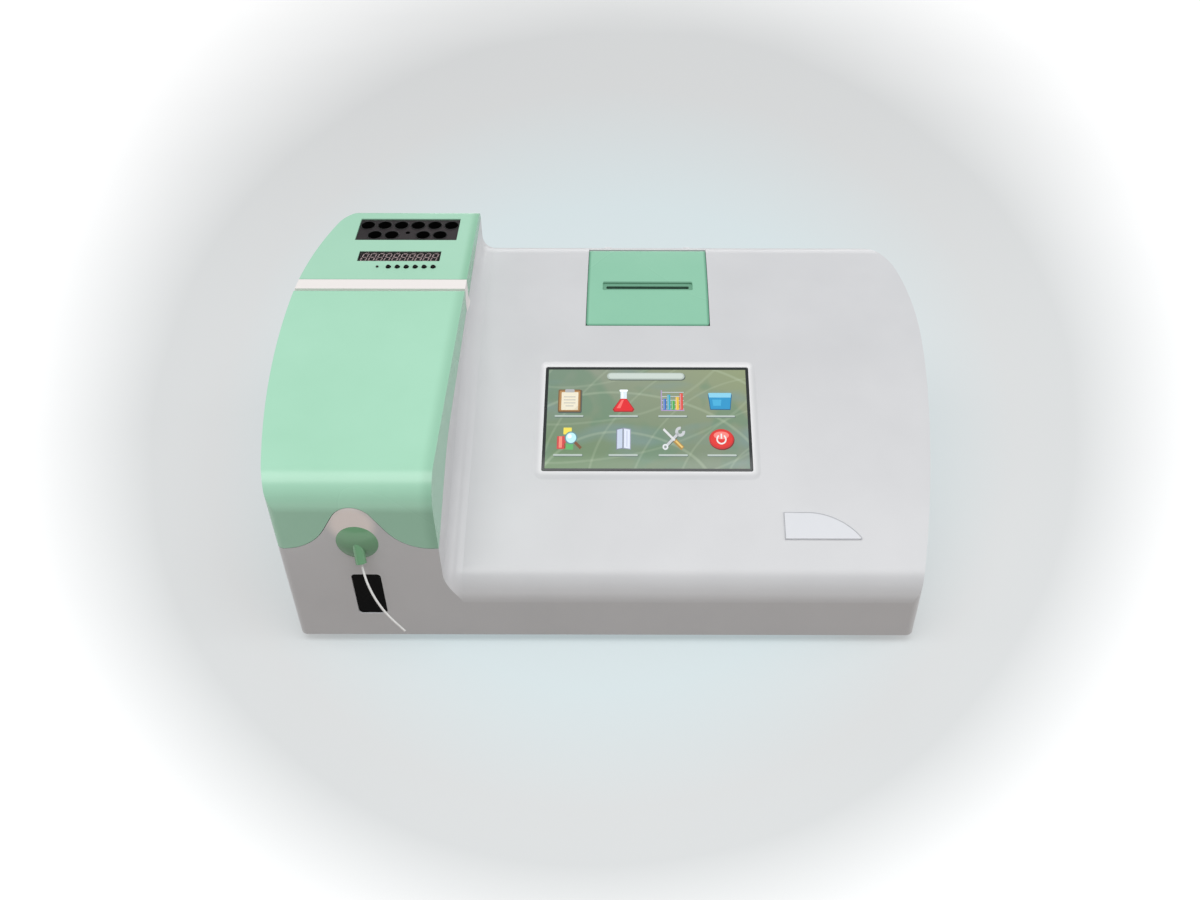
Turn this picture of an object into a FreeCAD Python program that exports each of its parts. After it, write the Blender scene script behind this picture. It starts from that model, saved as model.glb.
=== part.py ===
import FreeCAD, Part
import math
import os
import re
from types import SimpleNamespace

import Sketcher
from FreeCAD import Placement, Rotation, Vector

# Benchtop chemistry analyzer. Millimetres, +Z up, front towards -Y, origin on the
# bench under the middle of the case.

os.makedirs("parts", exist_ok=True)
doc = FreeCAD.newDocument("Analyzer")

SIZES = {
    # Case: plan of the side walls
    "body_width": 500.0,
    "body_depth": 320.0,
    "front_narrowing": 24.5,
    "widest_setback": 125.0,
    "side_back_radius": 330.0,
    "front_corner_radius": 6.0,
    "left_back_radius": 30.0,
    "right_back_radius": 62.0,
    "wall": 2.8,
    "seam_gap": 0.4,
    "moving_gap": 0.3,
    "running_gap": 0.05,
    "overrun": 6.0,
    "bite": 0.05,
    # Raised left side
    "hump_width": 135.3,
    "hump_front_height": 149.5,
    "hump_back_height": 193.9,
    "hump_crown_radius": 7300.0,
    "hump_front_fillet": 25.0,
    "hump_back_fillet": 6.0,
    # Sloping deck
    "deck_front_height": 58.0,
    "deck_slope": 24.5,
    "deck_straight_run": 150.0,
    "deck_arc_radius": 480.0,
    "deck_front_fillet": 25.0,
    "deck_back_fillet": 23.0,
    "cove_radius": 13.0,
    # Seam between the covers and the case
    "seam_front_drop": 54.8,
    "seam_knee_run": 72.0,
    "seam_knee_drop": 25.5,
    "seam_knee_radius": 150.0,
    "seam_back_drop": 7.2,
    "wave_offset": 11.85,
    "wave_height": 37.0,
    "wave_crest_radius": 15.0,
    "wave_foot_radius": 35.0,
    "wave_flank_angle": 58.0,
    "wave_depth": 14.0,
    "lip_height": 5.0,
    "lip_root": 6.0,
    "lip_wall": 1.6,
    "strip_setback": 112.2,
    "strip_width": 12.3,
    "rib_height": 7.0,
    "rib_width": 7.0,
    # Hidden hinges of the two covers
    "bead_radius": 3.2,
    "lug_radius": 2.0,
    "lug_width": 6.0,
    "lug_inset": 16.0,
    "neck_width": 2.4,
    "hinge_foot_height": 2.2,
    "hinge_foot_reach": 7.0,
    "hinge_pin_radius": 1.0,
    "hinge_pin_length": 18.0,
    # Base tray, feet and screws
    "foot_height": 8.0,
    "foot_radius": 11.0,
    "foot_taper": 1.5,
    "foot_side_inset": 34.0,
    "foot_front_inset": 26.0,
    "foot_back_inset": 46.0,
    "tray_wall": 2.5,
    "tray_vent_length": 70.0,
    "tray_vent_width": 5.0,
    "tray_vent_pitch": 14.0,
    "boss_radius": 4.5,
    "boss_height": 26.0,
    "boss_front_inset": 22.0,
    "boss_back_inset": 76.0,
    "screw_radius": 1.5,
    "screw_head_radius": 3.0,
    "screw_head_height": 1.8,
    "screw_length": 14.0,
    # Bay under the sample cover
    "bay_floor_gap": 0.7,
    "bay_floor_wall": 2.0,
    "bay_back_gap": 7.8,
    "bay_leg_length": 96.0,
    "bay_leg_inset": 18.0,
    # Incubator and timer in the rear panel
    "panel_ref_setback": 50.0,
    "well_block_offset": 10.25,
    "well_block_clearance": 2.0,
    "well_block_width": 84.2,
    "well_block_length": 31.0,
    "well_block_height": 42.0,
    "well_block_recess": 1.0,
    "well_radius": 6.1,
    "well_depth": 36.0,
    "well_pitch": 14.2,
    "well_row_gap": 14.4,
    "well_row_shift": 1.0,
    "probe_radius": 2.0,
    "probe_depth": 24.0,
    "jacket_wall": 1.6,
    "heater_height": 2.0,
    "lens_offset": 8.75,
    "lens_setback": 68.4,
    "lens_width": 66.9,
    "lens_length": 13.2,
    "lens_height": 1.6,
    "lens_recess": 0.4,
    "digit_block_height": 5.0,
    "timer_button_radius": 2.0,
    "timer_button_pitch": 7.26,
    "timer_button_offset": 20.25,
    "timer_button_setback": 14.8,
    "timer_button_proud": 0.7,
    "timer_button_travel": 0.5,
    "timer_collar_radius": 2.8,
    "timer_collar_height": 1.0,
    "timer_lamp_offset": -6.95,
    "timer_lamp_radius": 1.1,
    "timer_board_width": 78.0,
    "timer_board_length": 33.0,
    "board_wall": 1.6,
    "switch_side": 4.6,
    # Screen in the deck
    "screen_offset": -37.95,
    "screen_setback": 125.4,
    "screen_width": 155.5,
    "screen_length": 87.6,
    "recess_margin_x": 5.8,
    "recess_margin_y": 8.0,
    "recess_depth": 1.3,
    "recess_radius": 7.0,
    "glass_border": 1.6,
    "glass_height": 1.8,
    "gasket_height": 0.8,
    "gasket_overlap": 5.0,
    "gasket_drop": 0.7,
    "module_margin_x": 9.0,
    "module_margin_y": 8.0,
    "module_height": 7.0,
    "bracket_wall": 1.5,
    "bracket_width": 26.0,
    # Blank badge on the deck
    "badge_side_inset": 92.4,
    "badge_setback": 43.0,
    "badge_width": 56.2,
    "badge_length": 22.0,
    "badge_height": 0.9,
    "badge_nose": 2.0,
    # Printer under the deck
    "printer_offset": -37.25,
    "printer_width": 100.0,
    "printer_setback": 114.0,
    "printer_length": 93.4,
    "printer_corner_radius": 3.0,
    "slot_width": 75.0,
    "slot_length": 9.3,
    "slot_setback": 43.4,
    "slot_recess": 1.4,
    "paper_slit_length": 3.0,
    "printer_wall": 2.4,
    "printer_side_clearance": 1.4,
    "roll_floor_gap": 7.0,
    "printer_rear_setback": 14.0,
    "roll_radius": 22.0,
    "roll_width": 57.0,
    "roll_setback": 51.0,
    "roll_depth": 39.7,
    "spindle_radius": 5.5,
    "platen_radius": 6.0,
    "platen_width": 60.0,
    "platen_shaft_radius": 2.0,
    "platen_setback": 16.5,
    "platen_depth": 20.6,
    "head_height": 16.0,
    # Aspirate key and its switch
    "key_offset": 13.35,
    "key_width": 21.0,
    "key_bottom": 30.3,
    "key_height": 39.7,
    "key_corner_radius": 3.0,
    "key_recess": 0.8,
    "key_body": 8.0,
    "key_travel": 2.5,
    "key_stem_radius": 1.8,
    "key_stem_length": 4.0,
    "key_housing_wall": 2.2,
    "key_switch_width": 20.0,
    "key_switch_height": 11.0,
    "key_switch_depth": 9.0,
    # Sipper nozzle and its tube
    "nozzle_offset": 12.45,
    "nozzle_rise": 5.9,
    "nozzle_disc_radius": 14.5,
    "nozzle_dome": 3.6,
    "nozzle_barrel_radius": 7.6,
    "nozzle_barrel_length": 14.0,
    "spout_radius": 3.75,
    "spout_length": 15.0,
    "spout_dip": 60.0,
    "spout_turn": 18.0,
    "spout_bore_depth": 6.0,
    "spout_straight": 8.0,
    "sipper_tube_radius": 0.8,
    # Peristaltic pump
    "pump_offset": 4.35,
    "pump_setback": 88.0,
    "pump_head_side": 56.0,
    "pump_head_height": 26.0,
    "pump_floor": 4.0,
    "pump_cavity_radius": 21.8,
    "pump_tube_radius": 2.0,
    "pump_rotor_radius": 15.0,
    "pump_rotor_height": 4.0,
    "pump_roller_radius": 4.0,
    "pump_roller_height": 12.0,
    "pump_roller_centre": 13.2,
    "pump_shaft_radius": 2.5,
    "pump_motor_radius": 18.0,
    "pump_motor_length": 42.0,
    "pump_tube_leg": 8.0,
    "pump_shaft_grip": 8.0,
    # Optical bench
    "optic_offset": 26.7,
    "optic_rise": 38.5,
    "bench_setback": 94.0,
    "bench_length": 204.0,
    "bench_width": 88.0,
    "bench_wall": 3.0,
    "lamp_box_width": 40.0,
    "lamp_box_length": 44.0,
    "lamp_box_height": 60.0,
    "lamp_box_setback": 154.0,
    "lamp_box_wall": 2.0,
    "lamp_radius": 6.0,
    "lamp_length": 22.0,
    "lamp_cap_radius": 8.0,
    "lens_tube_radius": 9.0,
    "lens_tube_bore": 6.5,
    "lens_tube_length": 26.0,
    "wheel_setback": 119.0,
    "wheel_radius": 33.0,
    "wheel_thickness": 5.0,
    "wheel_pitch_radius": 25.0,
    "filter_radius": 6.0,
    "filter_count": 8,
    "wheel_motor_side": 28.0,
    "wheel_motor_length": 24.0,
    "wheel_shaft_radius": 2.5,
    "wheel_shaft_length": 10.0,
    "flow_cell_width": 26.0,
    "flow_cell_length": 30.0,
    "flow_cell_setback": 78.0,
    "flow_channel_radius": 2.0,
    "flow_cell_top": 12.0,
    "filter_pocket_depth": 3.4,
    "lens_glass": 3.0,
    "bench_side": 30.0,
    "detector_radius": 9.0,
    "detector_length": 20.0,
    "detector_board_side": 36.0,
    # Boards and power supply
    "standoff_radius": 3.0,
    "standoff_height": 6.0,
    "main_board_offset": -62.65,
    "main_board_setback": 32.0,
    "main_board_width": 165.0,
    "main_board_length": 120.0,
    "chip_side": 26.0,
    "chip_height": 2.4,
    "header_length": 60.0,
    "header_width": 8.0,
    "header_height": 9.0,
    "supply_side_inset": 154.0,
    "supply_setback": 146.0,
    "supply_width": 84.0,
    "supply_length": 96.0,
    "coil_height": 30.0,
    "capacitor_radius": 9.0,
    "capacitor_height": 28.0,
    # Rear plate and what is mounted in it
    "rear_plate_offset": -12.65,
    "rear_plate_width": 210.0,
    "rear_plate_height": 66.0,
    "rear_plate_bottom": 16.0,
    "rear_plate_wall": 1.5,
    "rear_window_margin": 5.0,
    "inlet_offset": 79.0,
    "inlet_width": 28.0,
    "inlet_height": 22.0,
    "inlet_corner": 4.0,
    "inlet_flange": 4.0,
    "inlet_depth": 20.0,
    "inlet_socket_depth": 16.0,
    "inlet_socket_width": 24.4,
    "inlet_socket_height": 16.4,
    "blade_width": 2.0,
    "blade_height": 4.0,
    "blade_spacing": 7.0,
    "rocker_offset": 43.0,
    "rocker_width": 13.0,
    "rocker_height": 20.0,
    "rocker_depth": 14.0,
    "rocker_frame": 2.2,
    "rocker_pivot_radius": 1.5,
    "rocker_throw": 12.0,
    "fan_offset": -3.0,
    "fan_side": 50.0,
    "fan_depth": 15.0,
    "fan_bore_radius": 23.0,
    "fan_hub_radius": 10.0,
    "fan_hub_plate": 2.0,
    "fan_strut": 3.0,
    "fan_blade_wall": 1.0,
    "fan_blade_pitch": 38.0,
    "fan_blade_count": 7,
    "fan_shaft_radius": 1.5,
    "grille_slot": 3.2,
    "grille_pitch": 6.4,
    "grille_count": 7,
    "serial_offset": -49.0,
    "serial_width": 30.8,
    "serial_height": 12.5,
    "serial_depth": 10.0,
    "usb_offset": -81.0,
    "usb_width": 14.0,
    "usb_height": 7.0,
    "usb_depth": 16.0,
    "port_proud": 4.0,
    "port_wall": 0.8,
    "waste_offset": 32.35,
    "waste_height": 40.0,
    "waste_radius": 3.0,
    "waste_bore": 1.6,
    "waste_reach": 11.0,
    "waste_flange": 8.0,
}

PLACES = {
    "front_y": "-body_depth / 2",
    "back_y": "body_depth / 2",
    "widest_y": "back_y - widest_setback",
    "hump_right": "hump_width - body_width / 2",
    "hump_middle_x": "(hump_width - body_width) / 2",
    "deck_middle_x": "hump_width / 2",
    "side_front_radius": (
        "((widest_y + body_depth / 2) * (widest_y + body_depth / 2)"
        " + front_narrowing * front_narrowing) / (2 * front_narrowing)"
    ),
    # Seam and strip
    "seam_front_height": "hump_front_height - seam_front_drop",
    "seam_knee_height": (
        "hump_front_height + (hump_back_height - hump_front_height) * seam_knee_run / body_depth"
        " - seam_knee_drop"
    ),
    "seam_back_height": "hump_back_height - seam_back_drop",
    "wave_x": "hump_middle_x + wave_offset",
    "strip_front_y": "back_y - strip_setback",
    "strip_back_y": "strip_front_y + strip_width",
    # Tray and bay floor
    "body_bottom": "foot_height",
    "tray_top": "foot_height + tray_wall",
    "tray_inset": "wall + seam_gap",
    "boss_front_y": "front_y + boss_front_inset",
    "boss_back_y": "back_y - boss_back_inset",
    "board_bottom": "tray_top + standoff_height",
    "bay_floor_top": "seam_front_height - lip_root - bay_floor_gap",
    "bay_back_y": "strip_front_y - bay_back_gap",
    # Rear panel
    "panel_ref_y": "back_y - panel_ref_setback",
    "well_block_x": "hump_middle_x + well_block_offset",
    "lens_x": "hump_middle_x + lens_offset",
    "lens_y": "back_y - lens_setback",
    "timer_button_x": "hump_middle_x + timer_button_offset",
    "timer_button_y": "lens_y - timer_button_setback",
    "timer_lamp_x": "hump_middle_x + timer_lamp_offset",
    # Screen and badge
    "screen_x": "deck_middle_x + screen_offset",
    "screen_y": "front_y + screen_setback",
    "badge_x": "body_width / 2 - badge_side_inset",
    "badge_y": "front_y + badge_setback",
    "glass_width": "screen_width + 2 * glass_border",
    "glass_length": "screen_length + 2 * glass_border",
    "glass_floor": "-recess_depth - glass_height",
    "module_width": "screen_width + 2 * module_margin_x",
    "module_length": "screen_length + 2 * module_margin_y",
    "module_top": "glass_floor - gasket_height",
    # Printer, hung under the deck's arc
    "deck_bend_y": "front_y + deck_straight_run",
    "deck_bend_height": "deck_front_height + deck_straight_run * tan(deck_slope * 1 deg)",
    "deck_arc_y": "deck_bend_y + deck_arc_radius * sin(deck_slope * 1 deg)",
    "deck_arc_height": "deck_bend_height - deck_arc_radius * cos(deck_slope * 1 deg)",
    "printer_x": "deck_middle_x + printer_offset",
    "printer_left": "printer_x - printer_width / 2",
    "printer_front_y": "back_y - printer_setback",
    "printer_back_y": "printer_front_y + printer_length",
    "slot_y": "printer_front_y + slot_setback",
    "roll_y": "printer_front_y + roll_setback",
    "platen_y": "printer_front_y + platen_setback",
    "roll_axis_height": (
        "deck_arc_height + sqrt(deck_arc_radius ^ 2 - (roll_y - deck_arc_y) ^ 2) - roll_depth"
    ),
    "platen_axis_height": (
        "deck_arc_height + sqrt(deck_arc_radius ^ 2 - (platen_y - deck_arc_y) ^ 2) - platen_depth"
    ),
    "printer_floor": "roll_axis_height - roll_radius - roll_floor_gap",
    "printer_inner_front": "printer_front_y + printer_side_clearance",
    "printer_inner_back": "printer_back_y - printer_rear_setback",
    "printer_inner_left": "printer_left + printer_side_clearance",
    "printer_inner_width": "printer_width - 2 * printer_side_clearance",
    # Key and nozzle
    "key_x": "hump_middle_x + key_offset",
    "key_front_y": "front_y + key_recess",
    "key_back_y": "key_front_y + key_body",
    "key_housing_floor_y": "key_back_y + key_travel + moving_gap",
    "key_middle_height": "key_bottom + key_height / 2",
    "nozzle_x": "hump_middle_x + nozzle_offset",
    "nozzle_axis_height": "seam_front_height + nozzle_rise",
    # Pump
    "pump_x": "hump_middle_x + pump_offset",
    "pump_y": "front_y + pump_setback",
    "pump_base": "bay_floor_top",
    "pump_rotor_floor": "pump_base + pump_floor + moving_gap",
    "pump_tube_reach": "pump_cavity_radius - pump_tube_radius - moving_gap / 2",
    "pump_tube_height": "pump_rotor_floor + pump_rotor_height + pump_roller_height / 2",
    # Optical bench
    "optic_x": "hump_right + optic_offset",
    "bench_top": "tray_top + bench_wall",
    "optic_height": "bench_top + optic_rise",
    "bench_front_y": "front_y + bench_setback",
    "bench_left": "optic_x - bench_side",
    "flow_cell_y": "bench_front_y + flow_cell_setback",
    "wheel_x": "optic_x + wheel_pitch_radius",
    "wheel_y": "bench_front_y + wheel_setback",
    "lamp_box_y": "bench_front_y + lamp_box_setback",
    "lamp_middle_y": "lamp_box_y + lamp_box_length / 2",
    "lamp_cap_height": "optic_height - lamp_length / 2 - bench_top - lamp_box_wall",
    # Boards
    "main_board_x": "deck_middle_x + main_board_offset",
    "main_board_y": "front_y + main_board_setback",
    "supply_x": "body_width / 2 - supply_side_inset",
    "supply_y": "back_y - supply_setback",
    # Back of the case
    "plate_inner_y": "back_y - wall - rear_plate_wall",
    "plate_outer_y": "back_y - wall",
    "plate_middle_height": "rear_plate_bottom + rear_plate_height / 2",
    "rear_plate_x": "deck_middle_x + rear_plate_offset",
    "inlet_x": "rear_plate_x + inlet_offset",
    "rocker_x": "rear_plate_x + rocker_offset",
    "fan_x": "rear_plate_x + fan_offset",
    "serial_x": "rear_plate_x + serial_offset",
    "usb_x": "rear_plate_x + usb_offset",
    "rocker_pivot_y": "plate_outer_y - rocker_depth / 3",
    "waste_x": "hump_middle_x + waste_offset",
    "foot_x": "body_width / 2 - foot_side_inset - front_narrowing",
    "foot_front_y": "front_y + foot_front_inset",
    "foot_back_y": "back_y - foot_back_inset",
}


def cells(text, own_sheet=False):
    """A formula of size names, written as an expression of the sheets' cells."""

    def cell(match):
        name = match.group()
        if name in SIZES:
            return "Sizes." + name
        if name in PLACES:
            return name if own_sheet else "Places." + name
        return name

    return re.sub(r"[a-z][a-z0-9_]*", cell, text)


def fill_sheet(name, rows):
    sheet = doc.addObject("Spreadsheet::Sheet", name)
    for row, (alias, text) in enumerate(rows.items(), start=1):
        sheet.set(f"A{row}", alias)
        sheet.set(f"B{row}", text)
        sheet.setAlias(f"B{row}", alias)
    doc.recompute()
    return {alias: float(sheet.get(alias)) for alias in rows}


sizes = fill_sheet("Sizes", {name: str(value) for name, value in SIZES.items()})
places = fill_sheet("Places", {name: "=" + cells(text, True) for name, text in PLACES.items()})
v = SimpleNamespace(**sizes, **places)

pieces = []
ALONG_X = Rotation(Vector(0, 1, 0), 90)
ALONG_Y = Rotation(Vector(1, 0, 0), -90)
ALONG_Z = Rotation()


def keep(shape_object, node):
    """Give a finished piece the name of its file."""
    shape_object.Label = node
    pieces.append(shape_object)
    return shape_object


def bind(item, names_and_formulas):
    for name, text in names_and_formulas.items():
        item.setExpression(name, cells(text))


def place(item, at, turn=ALONG_Z):
    item.Placement = Placement(Vector(), turn)
    for letter, text in zip("xyz", at):
        item.setExpression(".Placement.Base." + letter, cells(text))
    return item


def box(width, length, height, at):
    """Box with its low corner at the given place."""
    item = doc.addObject("Part::Box", "Box")
    bind(item, {"Length": width, "Width": length, "Height": height})
    return place(item, at)


def block(width, length, height, at):
    """Box centred in X and Y on the given place, standing on its height."""
    x, y, z = at
    return box(width, length, height, (f"{x} - ({width}) / 2", f"{y} - ({length}) / 2", z))


def rod(radius, length, at, turn=ALONG_Z):
    item = doc.addObject("Part::Cylinder", "Rod")
    bind(item, {"Radius": radius, "Height": length})
    return place(item, at, turn)


def fuse(*parts):
    item = doc.addObject("Part::MultiFuse", "Fuse")
    item.Shapes = list(parts)
    return item


def cut(base, *tools):
    item = doc.addObject("Part::Cut", "Cut")
    item.Base = base
    item.Tool = tools[0] if len(tools) == 1 else fuse(*tools)
    return item


def group(*parts):
    item = doc.addObject("Part::Compound", "Group")
    item.Links = list(parts)
    return item


def shaped(shape):
    """A piece whose outline of arcs is worked out here from the sheet's sizes."""
    item = doc.addObject("Part::Feature", "Form")
    item.Shape = shape
    return item


def seated(item, seat):
    """Set a piece, built flat at the origin, into its tilted seat."""
    item.Placement = seat
    return item


# Outlines of lines and arcs


def arc_about(centre, start, end):
    """Shorter arc from start to end round its centre."""
    outward = (start - centre) + (end - centre)
    outward.normalize()
    return Part.Arc(start, centre + outward * (start - centre).Length, end).toShape()


def rounded_face(points, radius):
    """Face inside a polygon whose corners are rounded, each by its own radius."""
    radii = radius if isinstance(radius, list) else [radius] * len(points)
    edges = []
    joins = []
    for index, corner in enumerate(points):
        back = points[index - 1] - corner
        ahead = points[(index + 1) % len(points)] - corner
        half_turn = back.getAngle(ahead) / 2
        if radii[index] == 0:
            joins.append((corner, None, corner))
            continue
        reach = radii[index] / math.tan(half_turn)
        back.normalize()
        ahead.normalize()
        inward = back + ahead
        inward.normalize()
        centre = corner + inward * (radii[index] / math.sin(half_turn))
        joins.append((corner + back * reach, centre, corner + ahead * reach))
    for index, (start, centre, end) in enumerate(joins):
        if centre is not None:
            edges.append(arc_about(centre, start, end))
        following = joins[(index + 1) % len(joins)][0]
        if (following - end).Length > v.bite / 10:
            edges.append(Part.makeLine(end, following))
    return Part.Face(Part.Wire(edges))


def rounded_slab(width, length, height, radius, x=0, y=0, z=0):
    """Flat plate with rounded corners, centred on x and y and standing on z."""
    right = x + width / 2
    left = x - width / 2
    back = y + length / 2
    front = y - length / 2
    corners = [
        Vector(left, front, z), Vector(right, front, z), Vector(right, back, z), Vector(left, back, z)
    ]
    return rounded_face(corners, radius).extrude(Vector(0, 0, height))


# The case's outer form, and the same form drawn inwards by an inset


def plan_side(side, back_radius, inset):
    """Centres and joints of one curved side wall seen from above."""
    half = v.body_width / 2
    front_centre = Vector(side * (half - v.side_front_radius), v.widest_y, 0)
    back_centre = Vector(side * (half - v.side_back_radius), v.widest_y, 0)
    corner_y = v.front_y + v.front_corner_radius
    reach = v.side_front_radius - v.front_corner_radius
    corner_x = front_centre.x + side * math.sqrt(reach**2 - (corner_y - v.widest_y) ** 2)
    front_corner = Vector(corner_x, corner_y, 0)
    rear_y = v.back_y - back_radius
    rear_reach = v.side_back_radius - back_radius
    rear_x = back_centre.x + side * math.sqrt(rear_reach**2 - (rear_y - v.widest_y) ** 2)
    rear_corner = Vector(rear_x, rear_y, 0)
    outward = (front_corner - front_centre).normalize()
    rearward = (rear_corner - back_centre).normalize()
    joints = [
        Vector(corner_x, v.front_y + inset, 0),
        front_centre + outward * (v.side_front_radius - inset),
        Vector(side * (half - inset), v.widest_y, 0),
        back_centre + rearward * (v.side_back_radius - inset),
        Vector(rear_x, v.back_y - inset, 0),
    ]
    return [front_corner, front_centre, back_centre, rear_corner], joints


def plan_prism(inset, bottom, top):
    """The case's plan, standing from bottom to top."""
    right_centres, right = plan_side(1, v.right_back_radius, inset)
    left_centres, left = plan_side(-1, v.left_back_radius, inset)
    edges = [Part.makeLine(left[0], right[0])]
    for centre, start, end in zip(right_centres, right, right[1:]):
        edges.append(arc_about(centre, start, end))
    edges.append(Part.makeLine(right[4], left[4]))
    for centre, start, end in reversed(list(zip(left_centres, left, left[1:]))):
        edges.append(arc_about(centre, end, start))
    face = Part.Face(Part.Wire(edges))
    face.translate(Vector(0, 0, bottom))
    return face.extrude(Vector(0, 0, top - bottom))


def wall_x(side, y, inset):
    """Where a side wall stands at a given depth."""
    radius = v.side_front_radius if y < v.widest_y else v.side_back_radius
    centre = v.body_width / 2 - radius
    return side * (centre + math.sqrt((radius - inset) ** 2 - (y - v.widest_y) ** 2))


slope = math.radians(v.deck_slope)
deck_up = Vector(0, -math.sin(slope), math.cos(slope))
deck_corner = Vector(0, v.front_y, v.deck_front_height)
deck_drop = v.deck_front_fillet * (1 - math.sin(slope)) / math.cos(slope)
deck_front_centre = Vector(0, v.front_y + v.deck_front_fillet, v.deck_front_height - deck_drop)
deck_bend = deck_corner + Vector(0, v.deck_straight_run, v.deck_straight_run * math.tan(slope))
deck_arc_centre = deck_bend - deck_up * v.deck_arc_radius
deck_back_y = v.back_y - v.deck_back_fillet
deck_back_reach = v.deck_arc_radius - v.deck_back_fillet
deck_back_rise = math.sqrt(deck_back_reach**2 - (deck_back_y - deck_arc_centre.y) ** 2)
deck_back_centre = Vector(0, deck_back_y, deck_arc_centre.z + deck_back_rise)

hump_chord = Vector(0, v.body_depth, v.hump_back_height - v.hump_front_height)
hump_up = Vector(0, -hump_chord.z, hump_chord.y).normalize()
hump_sag = math.sqrt(v.hump_crown_radius**2 - (hump_chord.Length / 2) ** 2)
hump_centre = Vector(0, v.front_y, v.hump_front_height) + hump_chord / 2 - hump_up * hump_sag


def crown_fillet_centre(y, radius):
    reach = v.hump_crown_radius - radius
    return Vector(0, y, hump_centre.z + math.sqrt(reach**2 - (y - hump_centre.y) ** 2))


hump_front_centre = crown_fillet_centre(v.front_y + v.hump_front_fillet, v.hump_front_fillet)
hump_back_centre = crown_fillet_centre(v.back_y - v.hump_back_fillet, v.hump_back_fillet)


def deck_edges(inset):
    """Edges of the deck's profile, from the front face over to the back face."""
    back_out = (deck_back_centre - deck_arc_centre).normalize()
    joints = [
        Vector(0, v.front_y + inset, deck_front_centre.z),
        deck_front_centre + deck_up * (v.deck_front_fillet - inset),
        deck_bend - deck_up * inset,
        deck_arc_centre + back_out * (v.deck_arc_radius - inset),
        Vector(0, v.back_y - inset, deck_back_centre.z),
    ]
    return joints, [
        arc_about(deck_front_centre, joints[0], joints[1]),
        Part.makeLine(joints[1], joints[2]),
        arc_about(deck_arc_centre, joints[2], joints[3]),
        arc_about(deck_back_centre, joints[3], joints[4]),
    ]


def hump_edges(inset):
    """Edges of the raised side's profile, from the front face to the back face."""
    front_out = (hump_front_centre - hump_centre).normalize()
    back_out = (hump_back_centre - hump_centre).normalize()
    joints = [
        Vector(0, v.front_y + inset, hump_front_centre.z),
        hump_centre + front_out * (v.hump_crown_radius - inset),
        hump_centre + back_out * (v.hump_crown_radius - inset),
        Vector(0, v.back_y - inset, hump_back_centre.z),
    ]
    return joints, [
        arc_about(hump_front_centre, joints[0], joints[1]),
        arc_about(hump_centre, joints[1], joints[2]),
        arc_about(hump_back_centre, joints[2], joints[3]),
    ]


def profile_prism(profile, inset, left, right, bottom):
    """A profile closed down to its bottom and drawn from left to right."""
    joints, edges = profile(inset)
    front_foot = Vector(0, joints[0].y, bottom)
    back_foot = Vector(0, joints[-1].y, bottom)
    closed = edges + [
        Part.makeLine(joints[-1], back_foot),
        Part.makeLine(back_foot, front_foot),
        Part.makeLine(front_foot, joints[0]),
    ]
    face = Part.Face(Part.Wire(closed))
    face.translate(Vector(left, 0, 0))
    return face.extrude(Vector(right - left, 0, 0))


def deck_top(y):
    if y < deck_bend.y:
        return deck_corner.z + (y - deck_corner.y) * math.tan(slope)
    return deck_arc_centre.z + math.sqrt(v.deck_arc_radius**2 - (y - deck_arc_centre.y) ** 2)


def hump_top(y):
    return hump_centre.z + math.sqrt(v.hump_crown_radius**2 - (y - hump_centre.y) ** 2)


far_left = -v.body_width
far_right = v.body_width
sky = v.hump_back_height + v.overrun
underground = -4 * v.overrun


def hump_form(inset, bottom):
    plan = plan_prism(inset, bottom, sky)
    return plan.common(profile_prism(hump_edges, inset, far_left, v.hump_right - inset, underground))


def deck_form(inset, bottom):
    plan = plan_prism(inset, bottom, sky)
    return plan.common(profile_prism(deck_edges, inset, far_left, far_right, underground))


def cove_form():
    """Concave filler along the foot of the raised side, trimmed to the plan later."""
    joints, edges = deck_edges(0)
    deep = v.cove_radius / 2
    edge = v.cove_radius - v.bite
    height = joints[0].z

    def across(out, up):
        return Vector(v.hump_right + out, v.front_y - up, height)

    corners = [across(-deep, edge), across(-deep, -deep), across(edge, -deep), across(edge, -v.bite)]
    section = [Part.makeLine(a, b) for a, b in zip(corners, corners[1:])]
    top = across(-v.bite, edge)
    section.append(arc_about(across(edge, edge), corners[-1], top))
    section.append(Part.makeLine(top, corners[0]))
    path = Part.Wire(edges)
    path.translate(Vector(v.hump_right, 0, 0))
    return path.makePipeShell([Part.Wire(section)], True, True)


def above_seam(lift):
    """Everything over the seam of the covers, raised by a lift."""
    base = v.seam_front_height + lift
    knee_y = v.front_y + v.seam_knee_run
    seam_rise = (v.seam_back_height - v.seam_knee_height) / (v.back_y - knee_y)
    knee = v.seam_knee_height + lift
    rear_y = v.back_y + v.overrun
    points = [
        Vector(far_left, v.front_y - v.overrun, base),
        Vector(far_left, v.front_y + v.wall, base),
        Vector(far_left, knee_y, knee),
        Vector(far_left, rear_y, knee + (rear_y - knee_y) * seam_rise),
        Vector(far_left, rear_y, sky),
        Vector(far_left, v.front_y - v.overrun, sky),
    ]
    radii = [0, 0, v.seam_knee_radius, 0, 0, 0]
    reach = v.hump_right + v.bite - far_left
    return rounded_face(points, radii).extrude(Vector(reach, 0, 0)).cut(wave_block(lift))


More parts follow.
